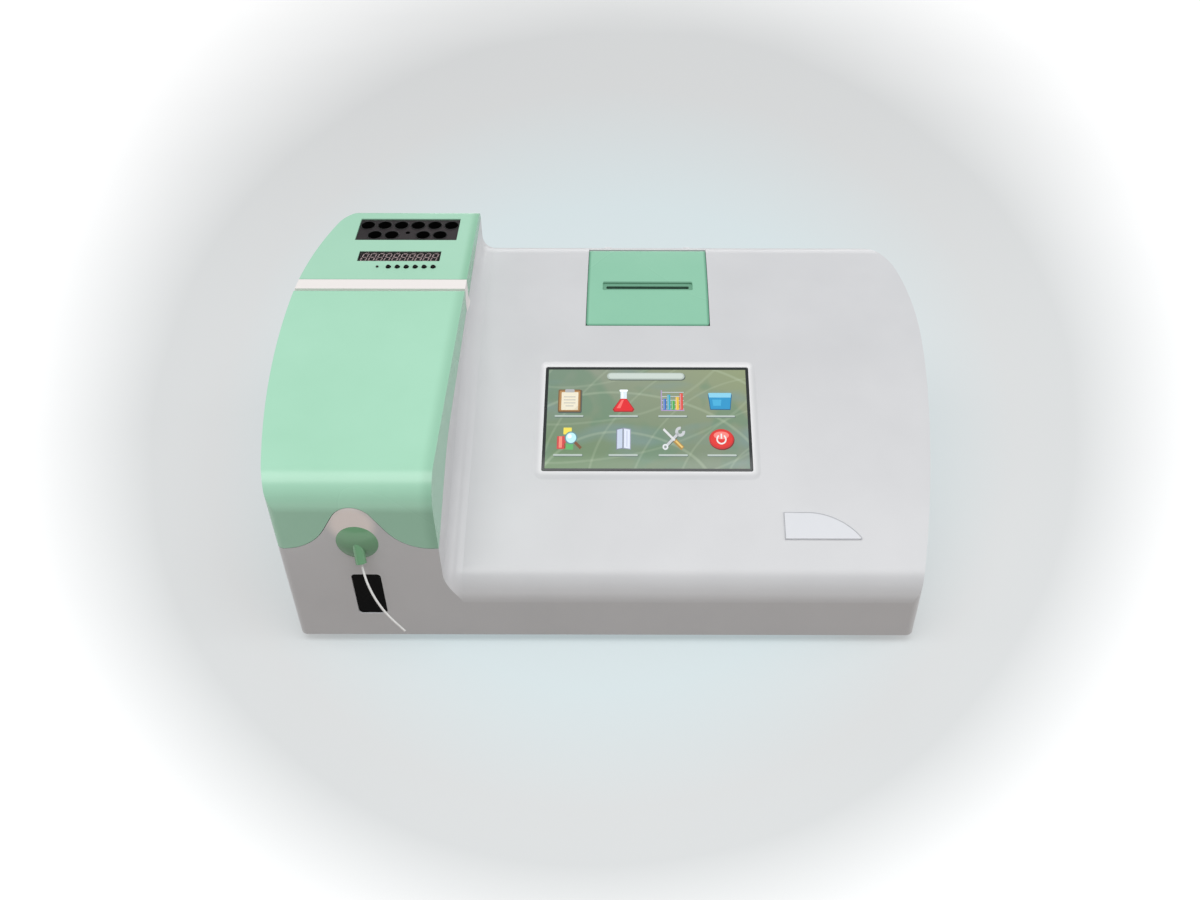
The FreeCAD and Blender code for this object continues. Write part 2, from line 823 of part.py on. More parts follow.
def wave_block(lift):
    """Wave of the seam across the front face, cut out of the cover round the nozzle."""
    flank = math.radians(v.wave_flank_angle)
    crest_radius = v.wave_crest_radius + lift
    foot_radius = v.wave_foot_radius - lift
    radii = v.wave_crest_radius + v.wave_foot_radius
    run = (v.wave_height - radii * (1 - math.cos(flank))) / math.sin(flank)
    half = radii * math.sin(flank) + run * math.cos(flank)
    y = v.front_y - v.overrun
    crest = Vector(v.wave_x, y, v.seam_front_height + v.wave_height - v.wave_crest_radius)
    edges = []
    low = v.seam_front_height - v.wave_height
    for side in (-1, 1):
        foot = Vector(v.wave_x + side * half, y, v.seam_front_height + v.wave_foot_radius)
        toe = Vector(foot.x, y, foot.z - foot_radius)
        lower = foot + Vector(-side * foot_radius * math.sin(flank), 0, -foot_radius * math.cos(flank))
        upper = crest + Vector(side * crest_radius * math.sin(flank), 0, crest_radius * math.cos(flank))
        top = crest + Vector(0, 0, crest_radius)
        edges.append(Part.makeLine(Vector(v.wave_x, y, low), Vector(foot.x, y, low)))
        edges.append(Part.makeLine(Vector(foot.x, y, low), toe))
        edges.append(arc_about(foot, toe, lower))
        edges.append(Part.makeLine(lower, upper))
        edges.append(arc_about(crest, upper, top))
    face = Part.Face(Part.Wire(Part.__sortEdges__(edges)))
    return face.extrude(Vector(0, v.overrun + v.wave_depth, 0))


def slab_between(front, back, low=-v.overrun, high=sky + v.overrun, left=far_left, right=far_right):
    """Plain block that limits a form to a range of depths."""
    return Part.makeBox(right - left, back - front, high - low, Vector(left, front, low))


# Hidden hinge: a bead along the cover's rear edge turns on two pins held by lugs


def bead_hinge(edge_y, top, left, right, lug_places):
    bead_y = edge_y - v.bead_radius
    bead_z = top - v.bead_radius
    gap = v.moving_gap
    across = Vector(1, 0, 0)
    bead = Part.makeCylinder(v.bead_radius, right - left, Vector(left, bead_y, bead_z), across)
    relief = Part.makeCylinder(
        v.bead_radius + v.seam_gap, right - left, Vector(left, bead_y, bead_z), across
    )
    pockets = []
    lugs = []
    pins = []
    half_neck = v.neck_width / 2
    foot_top = bead_z - v.bead_radius - v.seam_gap
    foot_low = foot_top - v.hinge_foot_height
    rear = edge_y + v.seam_gap
    for x in lug_places:
        lug_left = x - v.lug_width / 2
        pocket_left = lug_left - gap
        pocket_width = v.lug_width + 2 * gap
        hole_left = x - v.hinge_pin_length / 2
        shaft = Part.makeCylinder(
            v.hinge_pin_radius, v.hinge_pin_length, Vector(hole_left, bead_y, bead_z), across
        )
        hole = Part.makeCylinder(
            v.hinge_pin_radius + v.running_gap,
            v.hinge_pin_length + 2 * gap,
            Vector(hole_left - gap, bead_y, bead_z),
            across,
        )
        pocket = Part.makeCylinder(
            v.lug_radius + gap, pocket_width, Vector(pocket_left, bead_y, bead_z), across
        )
        swing = Part.makeBox(
            pocket_width,
            v.bead_radius * 2,
            v.bead_radius * 2 + v.hinge_pin_radius,
            Vector(pocket_left, bead_y - half_neck - gap, bead_z - v.bead_radius * 2),
        )
        pockets.append(pocket.fuse([swing, hole]))
        knuckle = Part.makeCylinder(v.lug_radius, v.lug_width, Vector(lug_left, bead_y, bead_z), across)
        neck = Part.makeBox(
            v.lug_width, v.neck_width, bead_z - foot_low, Vector(lug_left, bead_y - half_neck, foot_low)
        )
        foot = Part.makeBox(
            v.lug_width,
            rear + v.hinge_foot_reach - bead_y + half_neck,
            v.hinge_foot_height,
            Vector(lug_left, bead_y - half_neck, foot_low),
        )
        riser = Part.makeBox(
            v.lug_width, v.hinge_foot_reach, top - v.wall / 2 - foot_low, Vector(lug_left, rear, foot_low)
        )
        lugs.append(knuckle.fuse([neck, foot, riser]).cut(shaft))
        pins.append(shaft)
    return SimpleNamespace(
        y=bead_y, z=bead_z, bead=bead, relief=relief, pockets=pockets, lugs=lugs, pins=pins
    )


cover_left = wall_x(-1, v.strip_front_y, 0)
sample_hinge = bead_hinge(
    v.strip_front_y,
    hump_top(v.strip_front_y - v.bead_radius),
    far_left,
    v.hump_right,
    [cover_left + v.lug_inset, v.hump_right - v.lug_inset],
)
printer_right = v.printer_left + v.printer_width
printer_hinge = bead_hinge(
    v.printer_back_y,
    deck_top(v.printer_back_y - v.bead_radius),
    v.printer_left,
    printer_right,
    [v.printer_left + v.lug_inset, printer_right - v.lug_inset],
)

# Tilted seats of the screen, the badge and the rear panel's pieces


def deck_seat(x, y):
    return Placement(Vector(x, y, deck_top(y)), Rotation(Vector(1, 0, 0), v.deck_slope))


seat_inset = v.wall + v.seam_gap
panel_tilt = math.degrees(math.asin((hump_centre.y - v.panel_ref_y) / v.hump_crown_radius))
panel_turn = Rotation(Vector(1, 0, 0), panel_tilt)


def panel_seat(x, y):
    return Placement(Vector(x, y, hump_top(y)), panel_turn)


screen_seat = deck_seat(v.screen_x, v.screen_y)
badge_seat = deck_seat(v.badge_x, v.badge_y)
block_low = -v.well_block_recess - v.well_block_height
jacket_low = block_low - v.heater_height - v.jacket_wall
jacket_half = v.well_block_length / 2 + v.moving_gap + v.jacket_wall
lean = math.radians(panel_tilt)
block_back_y = v.back_y - seat_inset - v.lip_wall - v.well_block_clearance
block_y = block_back_y - jacket_half * math.cos(lean) + jacket_low * math.sin(lean)
block_seat = panel_seat(v.well_block_x, block_y)
lens_seat = panel_seat(v.lens_x, v.lens_y)

button_places = [v.timer_button_x + (number - 2.5) * v.timer_button_pitch for number in range(6)]


def in_seat(shape, seat):
    """Copy of a shape built flat, set into its tilted seat."""
    moved = shape.copy()
    moved.Placement = seat
    return moved


# Top shell: one moulding with the deck, the raised side's walls and the white strip


def skin_of_hump():
    return hump_form(0, -v.overrun).cut(hump_form(v.wall, -2 * v.overrun))


def seat_lip():
    """Raised lip inside the shell's rim, which both covers close over."""
    inner = seat_inset + v.lip_wall
    room = plan_prism(inner, -2 * v.overrun, sky + v.overrun)
    room = room.common(slab_between(v.front_y, v.back_y, low=-2 * v.overrun, right=v.hump_right - inner))
    band = hump_form(v.wall - v.bite, -v.overrun).cut(room)
    band = band.common(above_seam(-v.lip_root)).cut(above_seam(v.lip_height))
    moat = hump_form(v.wall - v.bite, -v.overrun).cut(hump_form(seat_inset, -2 * v.overrun))
    return band.cut(moat.common(above_seam(-v.seam_gap)))


def strip_rib():
    """Rib that stiffens the strip between the two covers."""
    middle = v.strip_front_y + v.seam_gap + v.strip_width / 2
    limits = slab_between(middle - v.rib_width / 2, middle + v.rib_width / 2)
    inside = hump_form(v.wall - v.bite, v.bay_floor_top)
    lowered = hump_form(v.wall - v.bite, v.bay_floor_top)
    lowered.translate(Vector(0, 0, -v.rib_height))
    return inside.cut(lowered).common(limits)


def boss_places():
    inset = v.wall + v.boss_radius - v.wall / 2
    middle_y = (v.boss_front_y + v.boss_back_y) / 2
    return [
        (wall_x(side, y, inset), y) for side in (-1, 1) for y in (v.boss_front_y, middle_y, v.boss_back_y)
    ]


def key_opening():
    left = v.key_x - v.key_width / 2
    right = v.key_x + v.key_width / 2
    top = v.key_bottom + v.key_height
    y = v.front_y - v.overrun
    corners = [
        Vector(left, y, v.key_bottom),
        Vector(right, y, v.key_bottom),
        Vector(right, y, top),
        Vector(left, y, top),
    ]
    return rounded_face(corners, v.key_corner_radius).extrude(Vector(0, 2 * v.overrun, 0))


def rear_window():
    margin = v.rear_window_margin
    return Part.makeBox(
        v.rear_plate_width - 2 * margin,
        2 * v.overrun,
        v.rear_plate_height - 2 * margin,
        Vector(
            v.rear_plate_x - v.rear_plate_width / 2 + margin,
            v.back_y - v.overrun,
            v.rear_plate_bottom + margin,
        ),
    )


def screen_recess():
    """Shallow sloping-sided recess round the screen."""
    outer = rounded_slab(
        v.glass_width + 2 * v.recess_margin_x,
        v.glass_length + 2 * v.recess_margin_y,
        v.overrun,
        v.recess_radius,
    )
    floor = rounded_slab(
        v.glass_width + v.wall, v.glass_length + v.wall, v.overrun, v.wall, z=-v.recess_depth
    )
    low = min(floor.Faces, key=lambda face: face.CenterOfMass.z).OuterWire
    top = min(outer.Faces, key=lambda face: face.CenterOfMass.z).OuterWire
    return Part.makeLoft([low, top], True, True).fuse(outer)


def make_top_shell():
    outer = deck_form(0, v.body_bottom).fuse(hump_form(0, v.body_bottom))
    outer = outer.fuse(cove_form().common(plan_prism(0, v.body_bottom, sky)))
    inner = deck_form(v.wall, -v.overrun).fuse(hump_form(v.wall, -v.overrun))
    shell = outer.cut(inner).removeSplitter()
    over = above_seam(0)
    under_cover = over.common(slab_between(v.front_y - v.overrun, sample_hinge.y + v.seam_gap))
    bead_space = over.common(sample_hinge.relief)
    top_space = over.common(
        slab_between(sample_hinge.y, v.strip_front_y + v.seam_gap, low=sample_hinge.z)
    )
    panel_space = over.common(slab_between(v.strip_back_y, v.back_y + v.overrun))
    shell = shell.cut([under_cover, bead_space, top_space, panel_space])
    limits = slab_between(v.front_y, sample_hinge.y - v.bead_radius - v.seam_gap)
    panel_limits = slab_between(v.strip_back_y - v.strip_width / 2, v.back_y)
    lip = seat_lip().common(Part.makeCompound([limits, panel_limits]))
    shell = shell.fuse([lip, strip_rib()] + sample_hinge.lugs)
    printer_space = slab_between(
        v.printer_front_y - v.seam_gap,
        v.printer_back_y + v.seam_gap,
        low=v.printer_floor,
        left=v.printer_left - v.seam_gap,
        right=printer_right + v.seam_gap,
    )
    shell = shell.cut(printer_space).fuse(printer_hinge.lugs)
    glass_hole = rounded_slab(
        v.glass_width + 2 * v.seam_gap,
        v.glass_length + 2 * v.seam_gap,
        4 * v.overrun,
        v.glass_border,
        z=-2 * v.overrun,
    )
    nozzle_hole = Part.makeCylinder(
        v.nozzle_barrel_radius + v.running_gap,
        2 * v.overrun,
        Vector(v.nozzle_x, v.front_y - v.overrun, v.nozzle_axis_height),
        Vector(0, 1, 0),
    )
    waste_hole = Part.makeCylinder(
        v.waste_radius + v.running_gap,
        2 * v.overrun,
        Vector(v.waste_x, v.back_y - v.overrun, v.waste_height),
        Vector(0, 1, 0),
    )
    shell = shell.cut(
        [
            in_seat(screen_recess(), screen_seat),
            in_seat(glass_hole, screen_seat),
            key_opening(),
            nozzle_hole,
            waste_hole,
            rear_window(),
        ]
    )
    bosses = []
    holes = []
    for x, y in boss_places():
        bosses.append(Part.makeCylinder(v.boss_radius, v.boss_height, Vector(x, y, v.tray_top)))
        holes.append(Part.makeCylinder(v.screw_radius, v.boss_height, Vector(x, y, v.tray_top)))
    return shell.fuse(bosses).cut(holes)


keep(shaped(make_top_shell()), "top_shell")

# Sample cover: green moulding over the front of the raised side, hinged at its back


def make_sample_cover():
    cover = skin_of_hump().common(above_seam(v.seam_gap))
    cover = cover.common(slab_between(v.front_y - v.overrun, sample_hinge.y))
    outline = plan_prism(0, -v.overrun, sky)
    return cover.fuse(sample_hinge.bead.common(outline)).cut(sample_hinge.pockets)


keep(shaped(make_sample_cover()), "sample_cover")
keep(shaped(Part.makeCompound(sample_hinge.pins + printer_hinge.pins)), "hinge_pins")


def make_incubator_panel():
    """Green panel behind the strip, with openings for the wells, the timer and its keys."""
    panel = skin_of_hump().common(above_seam(v.seam_gap))
    panel = panel.common(slab_between(v.strip_back_y + v.seam_gap, v.back_y + v.overrun))
    deep = 2 * v.overrun
    block_hole = rounded_slab(
        v.well_block_width + 2 * v.seam_gap,
        v.well_block_length + 2 * v.seam_gap,
        2 * deep,
        v.seam_gap,
        z=-deep,
    )
    lens_hole = rounded_slab(
        v.lens_width + 2 * v.moving_gap, v.lens_length + 2 * v.moving_gap, 2 * deep, v.moving_gap, z=-deep
    )
    tools = [in_seat(block_hole, block_seat), in_seat(lens_hole, lens_seat)]
    for x in button_places:
        hole = Part.makeCylinder(v.timer_button_radius + v.moving_gap, 2 * deep, Vector(0, 0, -deep))
        tools.append(in_seat(hole, panel_seat(x, v.timer_button_y)))
    lamp = Part.makeCylinder(v.timer_lamp_radius + v.running_gap, 2 * deep, Vector(0, 0, -deep))
    tools.append(in_seat(lamp, panel_seat(v.timer_lamp_x, v.timer_button_y)))
    return panel.cut(tools)


keep(shaped(make_incubator_panel()), "incubator_panel")

# Printer cover: green moulding that follows the deck's curve, hinged at its back


def make_printer_cover():
    skin = deck_form(0, v.printer_floor).cut(deck_form(v.wall, v.printer_floor - v.overrun))
    corners = [
        Vector(v.printer_left, v.printer_front_y, v.printer_floor),
        Vector(printer_right, v.printer_front_y, v.printer_floor),
        Vector(printer_right, printer_hinge.y, v.printer_floor),
        Vector(v.printer_left, printer_hinge.y, v.printer_floor),
    ]
    radii = [v.printer_corner_radius, v.printer_corner_radius, 0, 0]
    outline = rounded_face(corners, radii).extrude(Vector(0, 0, sky - v.printer_floor))
    cover = skin.common(outline).fuse(printer_hinge.bead).cut(printer_hinge.pockets)
    tilt = math.degrees(math.asin((v.slot_y - deck_arc_centre.y) / v.deck_arc_radius))
    seat = Placement(Vector(v.printer_x, v.slot_y, deck_top(v.slot_y)), Rotation(Vector(1, 0, 0), -tilt))
    recess = rounded_slab(v.slot_width, v.slot_length, v.overrun, v.slot_recess, z=-v.slot_recess)
    slit = rounded_slab(
        v.slot_width - 2 * v.paper_slit_length,
        v.paper_slit_length,
        2 * v.overrun,
        v.paper_slit_length / 3,
        z=-v.overrun,
    )
    return cover.cut([in_seat(recess, seat), in_seat(slit, seat)])


keep(shaped(make_printer_cover()), "printer_cover")

# Base tray, feet and screws


def make_base_tray():
    tray = plan_prism(v.tray_inset, v.body_bottom, v.tray_top)
    tools = []
    for x, y in boss_places():
        hole = Vector(x, y, -v.overrun)
        tools.append(Part.makeCylinder(v.screw_radius + v.running_gap, 4 * v.overrun, hole))
    for row in range(5):
        vent = rounded_slab(
            v.tray_vent_length,
            v.tray_vent_width,
            4 * v.overrun,
            v.tray_vent_width / 3,
            x=v.supply_x + v.supply_width / 2,
            y=v.supply_y + v.supply_length / 2 + (row - 2) * v.tray_vent_pitch,
            z=-v.overrun,
        )
        tools.append(vent)
    return tray.cut(tools)


keep(shaped(make_base_tray()), "base_tray")


def rubber_foot(x, y):
    foot = doc.addObject("Part::Cone", "Foot")
    bind(foot, {"Radius1": "foot_radius - foot_taper", "Radius2": "foot_radius", "Height": "foot_height"})
    return place(foot, (x, y, "0"))


feet = [rubber_foot(f"{side} * foot_x", y) for side in (-1, 1) for y in ("foot_front_y", "foot_back_y")]
keep(group(*feet), "rubber_feet")


def tray_screw(x, y):
    head = Part.makeCylinder(
        v.screw_head_radius, v.screw_head_height, Vector(x, y, v.body_bottom - v.screw_head_height)
    )
    return head.fuse(Part.makeCylinder(v.screw_radius, v.screw_length, Vector(x, y, v.body_bottom)))


keep(shaped(Part.makeCompound([tray_screw(x, y) for x, y in boss_places()])), "tray_screws")

# Bay floor: sheet-metal shelf on two legs that carries the pump


def make_bay_floor():
    plan = plan_prism(
        seat_inset + v.lip_wall + v.moving_gap, v.bay_floor_top - v.bay_floor_wall, v.bay_floor_top
    )
    right = v.hump_right - seat_inset - v.lip_wall - v.moving_gap
    shelf = plan.common(slab_between(v.front_y, v.bay_back_y, right=right))
    middle = (v.hump_right + wall_x(-1, v.pump_y, 0)) / 2
    legs = []
    for y in (v.boss_front_y + v.boss_radius + v.moving_gap, v.bay_back_y - v.bay_leg_inset):
        leg = Vector(middle - v.bay_leg_length / 2, y, v.tray_top)
        legs.append(
            Part.makeBox(
                v.bay_leg_length, v.bay_floor_wall, v.bay_floor_top - v.bay_floor_wall - v.tray_top, leg
            )
        )
    shaft = Part.makeCylinder(
        v.pump_shaft_radius + v.moving_gap,
        4 * v.overrun,
        Vector(v.pump_x, v.pump_y, v.bay_floor_top - 2 * v.overrun),
    )
    return shelf.fuse(legs).cut(shaft)


keep(shaped(make_bay_floor()), "bay_floor")

# Incubator: black block with ten tube wells in a jacket, on a heater pad


def make_well_block():
    body = doc.addObject("PartDesign::Body", "WellBlock")
    plane = [item for item in body.Origin.OriginFeatures if item.Role == "XY_Plane"][0]
    sketch = body.newObject("Sketcher::SketchObject", "BlockOutline")
    sketch.AttachmentSupport = [(plane, "")]
    sketch.MapMode = "FlatFace"
    half_w = v.well_block_width / 2
    half_l = v.well_block_length / 2
    corners = [
        Vector(-half_w, -half_l), Vector(half_w, -half_l), Vector(half_w, half_l), Vector(-half_w, half_l)
    ]
    for start, end in zip(corners, corners[1:] + corners[:1]):
        sketch.addGeometry(Part.LineSegment(start, end))
    pad = body.newObject("PartDesign::Pad", "BlockPad")
    pad.Profile = sketch
    pad.Reversed = True
    pad.setExpression("Length", cells("well_block_height"))
    wells = body.newObject("Sketcher::SketchObject", "WellMouths")
    wells.AttachmentSupport = [(plane, "")]
    wells.MapMode = "FlatFace"
    rear_y = v.well_row_gap / 2
    for number in range(6):
        middle = Vector((number - 2.5) * v.well_pitch, rear_y)
        wells.addGeometry(Part.Circle(middle, Vector(0, 0, 1), v.well_radius))
    for number in (-2, -1, 1, 2):
        side = 1 if number > 0 else -1
        middle = Vector(number * v.well_pitch - side * v.well_row_shift, -rear_y)
        wells.addGeometry(Part.Circle(middle, Vector(0, 0, 1), v.well_radius))
    pocket = body.newObject("PartDesign::Pocket", "Wells")
    pocket.Profile = wells
    pocket.setExpression("Length", cells("well_depth"))
    probe = body.newObject("Sketcher::SketchObject", "ProbeMouth")
    probe.AttachmentSupport = [(plane, "")]
    probe.MapMode = "FlatFace"
    probe.addGeometry(Part.Circle(Vector(0, -rear_y / 2), Vector(0, 0, 1), v.probe_radius))
    probe_pocket = body.newObject("PartDesign::Pocket", "ProbeHole")
    probe_pocket.Profile = probe
    probe_pocket.setExpression("Length", cells("probe_depth"))
    body.Placement = block_seat.multiply(Placement(Vector(0, 0, -v.well_block_recess), Rotation()))
    return body


keep(make_well_block(), "incubator_block")


def make_jacket():
    """Insulating jacket under the panel, open at the top for the block."""
    width = v.well_block_width + 2 * v.moving_gap
    length = v.well_block_length + 2 * v.moving_gap
    height = -v.wall - v.moving_gap - jacket_low
    outer = rounded_slab(width + 2 * v.jacket_wall, 2 * jacket_half, height, v.jacket_wall, z=jacket_low)
    room = rounded_slab(width, length, height, v.moving_gap, z=jacket_low + v.jacket_wall)
    return outer.cut(room)


jacket = keep(seated(shaped(make_jacket()), block_seat), "incubator_jacket")
heater = block(
    "well_block_width - 2 * jacket_wall",
    "well_block_length - 2 * jacket_wall",
    "heater_height",
    ("0", "0", "0"),
)
heater_seat = block_seat.multiply(Placement(Vector(0, 0, block_low - v.heater_height), Rotation()))
keep(seated(group(heater), heater_seat), "incubator_heater")

# Timer: smoked lens, digit block, lamp, and a board with a switch under each button

lens = block("lens_width", "lens_length", "lens_height", ("0", "0", "-lens_recess - lens_height"))
keep(seated(group(lens), lens_seat), "timer_lens")
digits = block(
    "lens_width - 2 * moving_gap",
    "lens_length - 2 * moving_gap",
    "digit_block_height",
    ("0", "0", "-lens_recess - lens_height - digit_block_height"),
)
keep(seated(group(digits), lens_seat), "timer_display")

board_top = -v.lens_recess - v.lens_height - v.digit_block_height
board_middle_x = v.lens_x
board_middle_y = (v.lens_y + v.timer_button_y) / 2
board_seat = panel_seat(board_middle_x, board_middle_y)
row_y = (v.timer_button_y - board_middle_y) / math.cos(math.radians(panel_tilt))
collar_top = -v.wall - v.moving_gap
switch_top = collar_top - v.timer_collar_height - v.moving_gap - v.timer_button_travel


def make_timer_board():
    plate = rounded_slab(
        v.timer_board_width, v.timer_board_length, v.board_wall, v.board_wall, z=board_top - v.board_wall
    )
    solids = [plate]
    for x in button_places:
        switch = Vector(x - board_middle_x - v.switch_side / 2, row_y - v.switch_side / 2, board_top)
        solids.append(Part.makeBox(v.switch_side, v.switch_side, switch_top - board_top, switch))
    for side_x in (-1, 1):
        for side_y in (-1, 1):
            post = Vector(
                side_x * (v.timer_board_width / 2 - v.standoff_radius),
                side_y * (v.timer_board_length / 2 - v.standoff_radius),
                board_top,
            )
            solids.append(
                Part.makeCylinder(v.standoff_radius / 2, -v.wall - v.moving_gap - board_top, post)
            )
    return solids[0].fuse(solids[1:])


keep(seated(shaped(make_timer_board()), board_seat), "timer_board")
lamp_seat = panel_seat(v.timer_lamp_x, v.timer_button_y)
lamp_foot = board_top + v.moving_gap
lamp_rod = Part.makeCylinder(
    v.timer_lamp_radius, v.timer_button_proud - lamp_foot, Vector(0, 0, lamp_foot)
)
keep(seated(shaped(lamp_rod), lamp_seat), "timer_lamp")


def timer_button(x):
    """Round push button with a collar that keeps it under the panel."""
    stem = rod(
        "timer_button_radius", "timer_button_proud + wall + moving_gap", ("0", "0", "-wall - moving_gap")
    )
    collar = rod(
        "timer_collar_radius",
        "timer_collar_height",
        ("0", "0", "-wall - moving_gap - timer_collar_height"),
    )
    return seated(fuse(stem, collar), panel_seat(x, v.timer_button_y))


for number, button_x in enumerate(button_places, start=1):
    keep(timer_button(button_x), f"timer_button_{number}")

# Screen: touch glass on a gasket, the display module and the bracket that holds it up

glass = shaped(
    rounded_slab(
        v.glass_width, v.glass_length, v.glass_height, v.glass_border - v.seam_gap, z=v.glass_floor
    ),
)
keep(seated(glass, screen_seat), "touch_glass")


def make_gasket():
    """Frame with a step that carries the glass and a flange under the deck."""
    low = v.module_top
    overlap = 2 * v.gasket_overlap
    flange_rise = -v.wall - v.gasket_drop - low
    flange = rounded_slab(
        v.glass_width + overlap, v.glass_length + overlap, flange_rise, v.gasket_overlap, z=low
    )
    step = rounded_slab(v.glass_width, v.glass_length, v.gasket_height, v.glass_border, z=low)
    window = rounded_slab(v.screen_width, v.screen_length, 2 * v.overrun, v.seam_gap, z=low - v.overrun)
    return flange.fuse(step).cut(window)


keep(seated(shaped(make_gasket()), screen_seat), "screen_gasket")
module = block("module_width", "module_length", "module_height", ("0", "0", "module_top - module_height"))
keep(seated(group(module), screen_seat), "display_module")

bracket_parts = [
    block(
        "module_width + 2 * bracket_wall + 2 * running_gap",
        "bracket_width",
        "bracket_wall",
        ("0", "0", "module_top - module_height - bracket_wall"),
    )
]
for sign in ("-", ""):
    bracket_parts.append(
        block(
            "bracket_wall",
            "bracket_width",
            "-wall - module_top + module_height + bracket_wall",
            (
                f"{sign}(module_width / 2 + bracket_wall / 2 + running_gap)",
                "0",
                "module_top - module_height - bracket_wall",
            ),
        )
    )
keep(seated(fuse(*bracket_parts), screen_seat), "display_bracket")

# Blank badge: quarter-oval plate, straight along its left and lower edges


def make_badge():
    half_w = v.badge_width / 2
    half_l = v.badge_length / 2
    corner = Vector(-half_w, -half_l, 0)
    tip = Vector(half_w, -half_l, 0)
    nose = Vector(half_w, -half_l + v.badge_nose, 0)
    top = Vector(-half_w, half_l, 0)
    shoulder = Vector(-half_w + v.badge_width / 4, half_l, 0)
    bulge = Vector(v.badge_width / 5, v.badge_length / 4, 0)
    edges = [
        Part.makeLine(corner, tip),
        Part.makeLine(tip, nose),
        Part.Arc(nose, bulge, shoulder).toShape(),
        Part.makeLine(shoulder, top),
        Part.makeLine(top, corner),
    ]
    return Part.Face(Part.Wire(edges)).extrude(Vector(0, 0, v.badge_height))


keep(seated(shaped(make_badge()), badge_seat), "blank_badge")

# Printer under its cover: frame, paper roll on a spindle, platen roller and print head


def make_printer_frame():
    outer_low = v.printer_floor - v.printer_wall
    outer = Part.makeBox(
        v.printer_inner_width + 2 * v.printer_wall,
        v.printer_inner_back - v.printer_inner_front + 2 * v.printer_wall,
        sky - outer_low,
        Vector(v.printer_inner_left - v.printer_wall, v.printer_inner_front - v.printer_wall, outer_low),
    )
    room = Part.makeBox(
        v.printer_inner_width,
        v.printer_inner_back - v.printer_inner_front,
        sky,
        Vector(v.printer_inner_left, v.printer_inner_front, v.printer_floor),
    )
    under_deck = deck_form(v.wall + v.moving_gap, outer_low - v.overrun)
    shaft = Part.makeCylinder(
        v.platen_shaft_radius + v.running_gap,
        far_right,
        Vector(v.printer_x - far_right / 2, v.platen_y, v.platen_axis_height),
        Vector(1, 0, 0),
    )
    return outer.common(under_deck).cut([room, shaft])


keep(shaped(make_printer_frame()), "printer_frame")
spindle = rod(
    "spindle_radius",
    "printer_inner_width",
    ("printer_inner_left", "roll_y", "roll_axis_height"),
    ALONG_X,
)
keep(group(spindle), "paper_spindle")
roll_left = "printer_x - roll_width / 2"
roll = rod("roll_radius", "roll_width", (roll_left, "roll_y", "roll_axis_height"), ALONG_X)
core = rod(
    "spindle_radius + running_gap",
    "roll_width + 2 * overrun",
    (f"{roll_left} - overrun", "roll_y", "roll_axis_height"),
    ALONG_X,
)
keep(cut(roll, core), "paper_roll")
platen = rod(
    "platen_radius",
    "platen_width",
    ("printer_x - platen_width / 2", "platen_y", "platen_axis_height"),
    ALONG_X,
)
platen_shaft = rod(
    "platen_shaft_radius",
    "printer_inner_width + 2 * printer_wall",
    ("printer_inner_left - printer_wall", "platen_y", "platen_axis_height"),
    ALONG_X,
)
keep(fuse(platen, platen_shaft), "platen_roller")
head = box(
    "platen_width",
    "platen_y - platen_radius - moving_gap - printer_inner_front",
    "head_height",
    ("printer_x - platen_width / 2", "printer_inner_front", "platen_axis_height - head_height / 2"),
)
keep(group(head), "print_head")

# Aspirate key in the front face, its housing and the switch behind it


def key_slab(clearance, front, depth):
    left = v.key_x - v.key_width / 2 + clearance
    right = v.key_x + v.key_width / 2 - clearance
    low = v.key_bottom + clearance
    top = v.key_bottom + v.key_height - clearance
    corners = [
        Vector(left, front, low),
        Vector(right, front, low),
        Vector(right, front, top),
        Vector(left, front, top),
    ]
    return rounded_face(corners, v.key_corner_radius - clearance).extrude(Vector(0, depth, 0))


def make_key():
    body = key_slab(v.seam_gap, v.key_front_y, v.key_body)
    stem = Part.makeCylinder(
        v.key_stem_radius,
        v.key_stem_length,
        Vector(v.key_x, v.key_back_y, v.key_middle_height),
        Vector(0, 1, 0),
    )
    return body.fuse(stem)


def make_key_housing():
    front = v.front_y + v.wall
    depth = v.key_housing_floor_y - front
    outer = key_slab(-v.key_housing_wall, front, depth + v.key_housing_wall)
    room = key_slab(0, front - v.overrun, depth + v.overrun)
    hole = Part.makeCylinder(
        v.key_stem_radius + v.moving_gap,
        4 * v.overrun,
        Vector(v.key_x, v.key_back_y, v.key_middle_height),
        Vector(0, 1, 0),
    )
    return outer.cut([room, hole])


def make_key_switch():
    front = v.key_housing_floor_y + v.key_housing_wall
    body = Part.makeBox(
        v.key_switch_width,
        v.key_switch_depth,
        v.key_switch_height,
        Vector(v.key_x - v.key_switch_width / 2, front, v.key_middle_height - v.key_switch_height / 2),
    )
    stem_end = v.key_back_y + v.key_stem_length + v.key_travel + v.moving_gap
    hole = Part.makeCylinder(
        v.key_stem_radius + v.moving_gap,
        max(stem_end - front, v.moving_gap),
        Vector(v.key_x, front, v.key_middle_height),
        Vector(0, 1, 0),
    )
    return body.cut(hole)


keep(shaped(make_key()), "aspirate_key")
keep(shaped(make_key_housing()), "key_housing")
keep(shaped(make_key_switch()), "key_switch")

# Sipper nozzle: green domed boss with a drooping spout, its barrel through the wall

spout_out = Vector(
    math.cos(math.radians(v.spout_dip)) * math.sin(math.radians(v.spout_turn)),
    -math.cos(math.radians(v.spout_dip)) * math.cos(math.radians(v.spout_turn)),
    -math.sin(math.radians(v.spout_dip)),
)
nozzle_at = Vector(v.nozzle_x, v.front_y, v.nozzle_axis_height)
spout_tip = nozzle_at + spout_out * v.spout_length


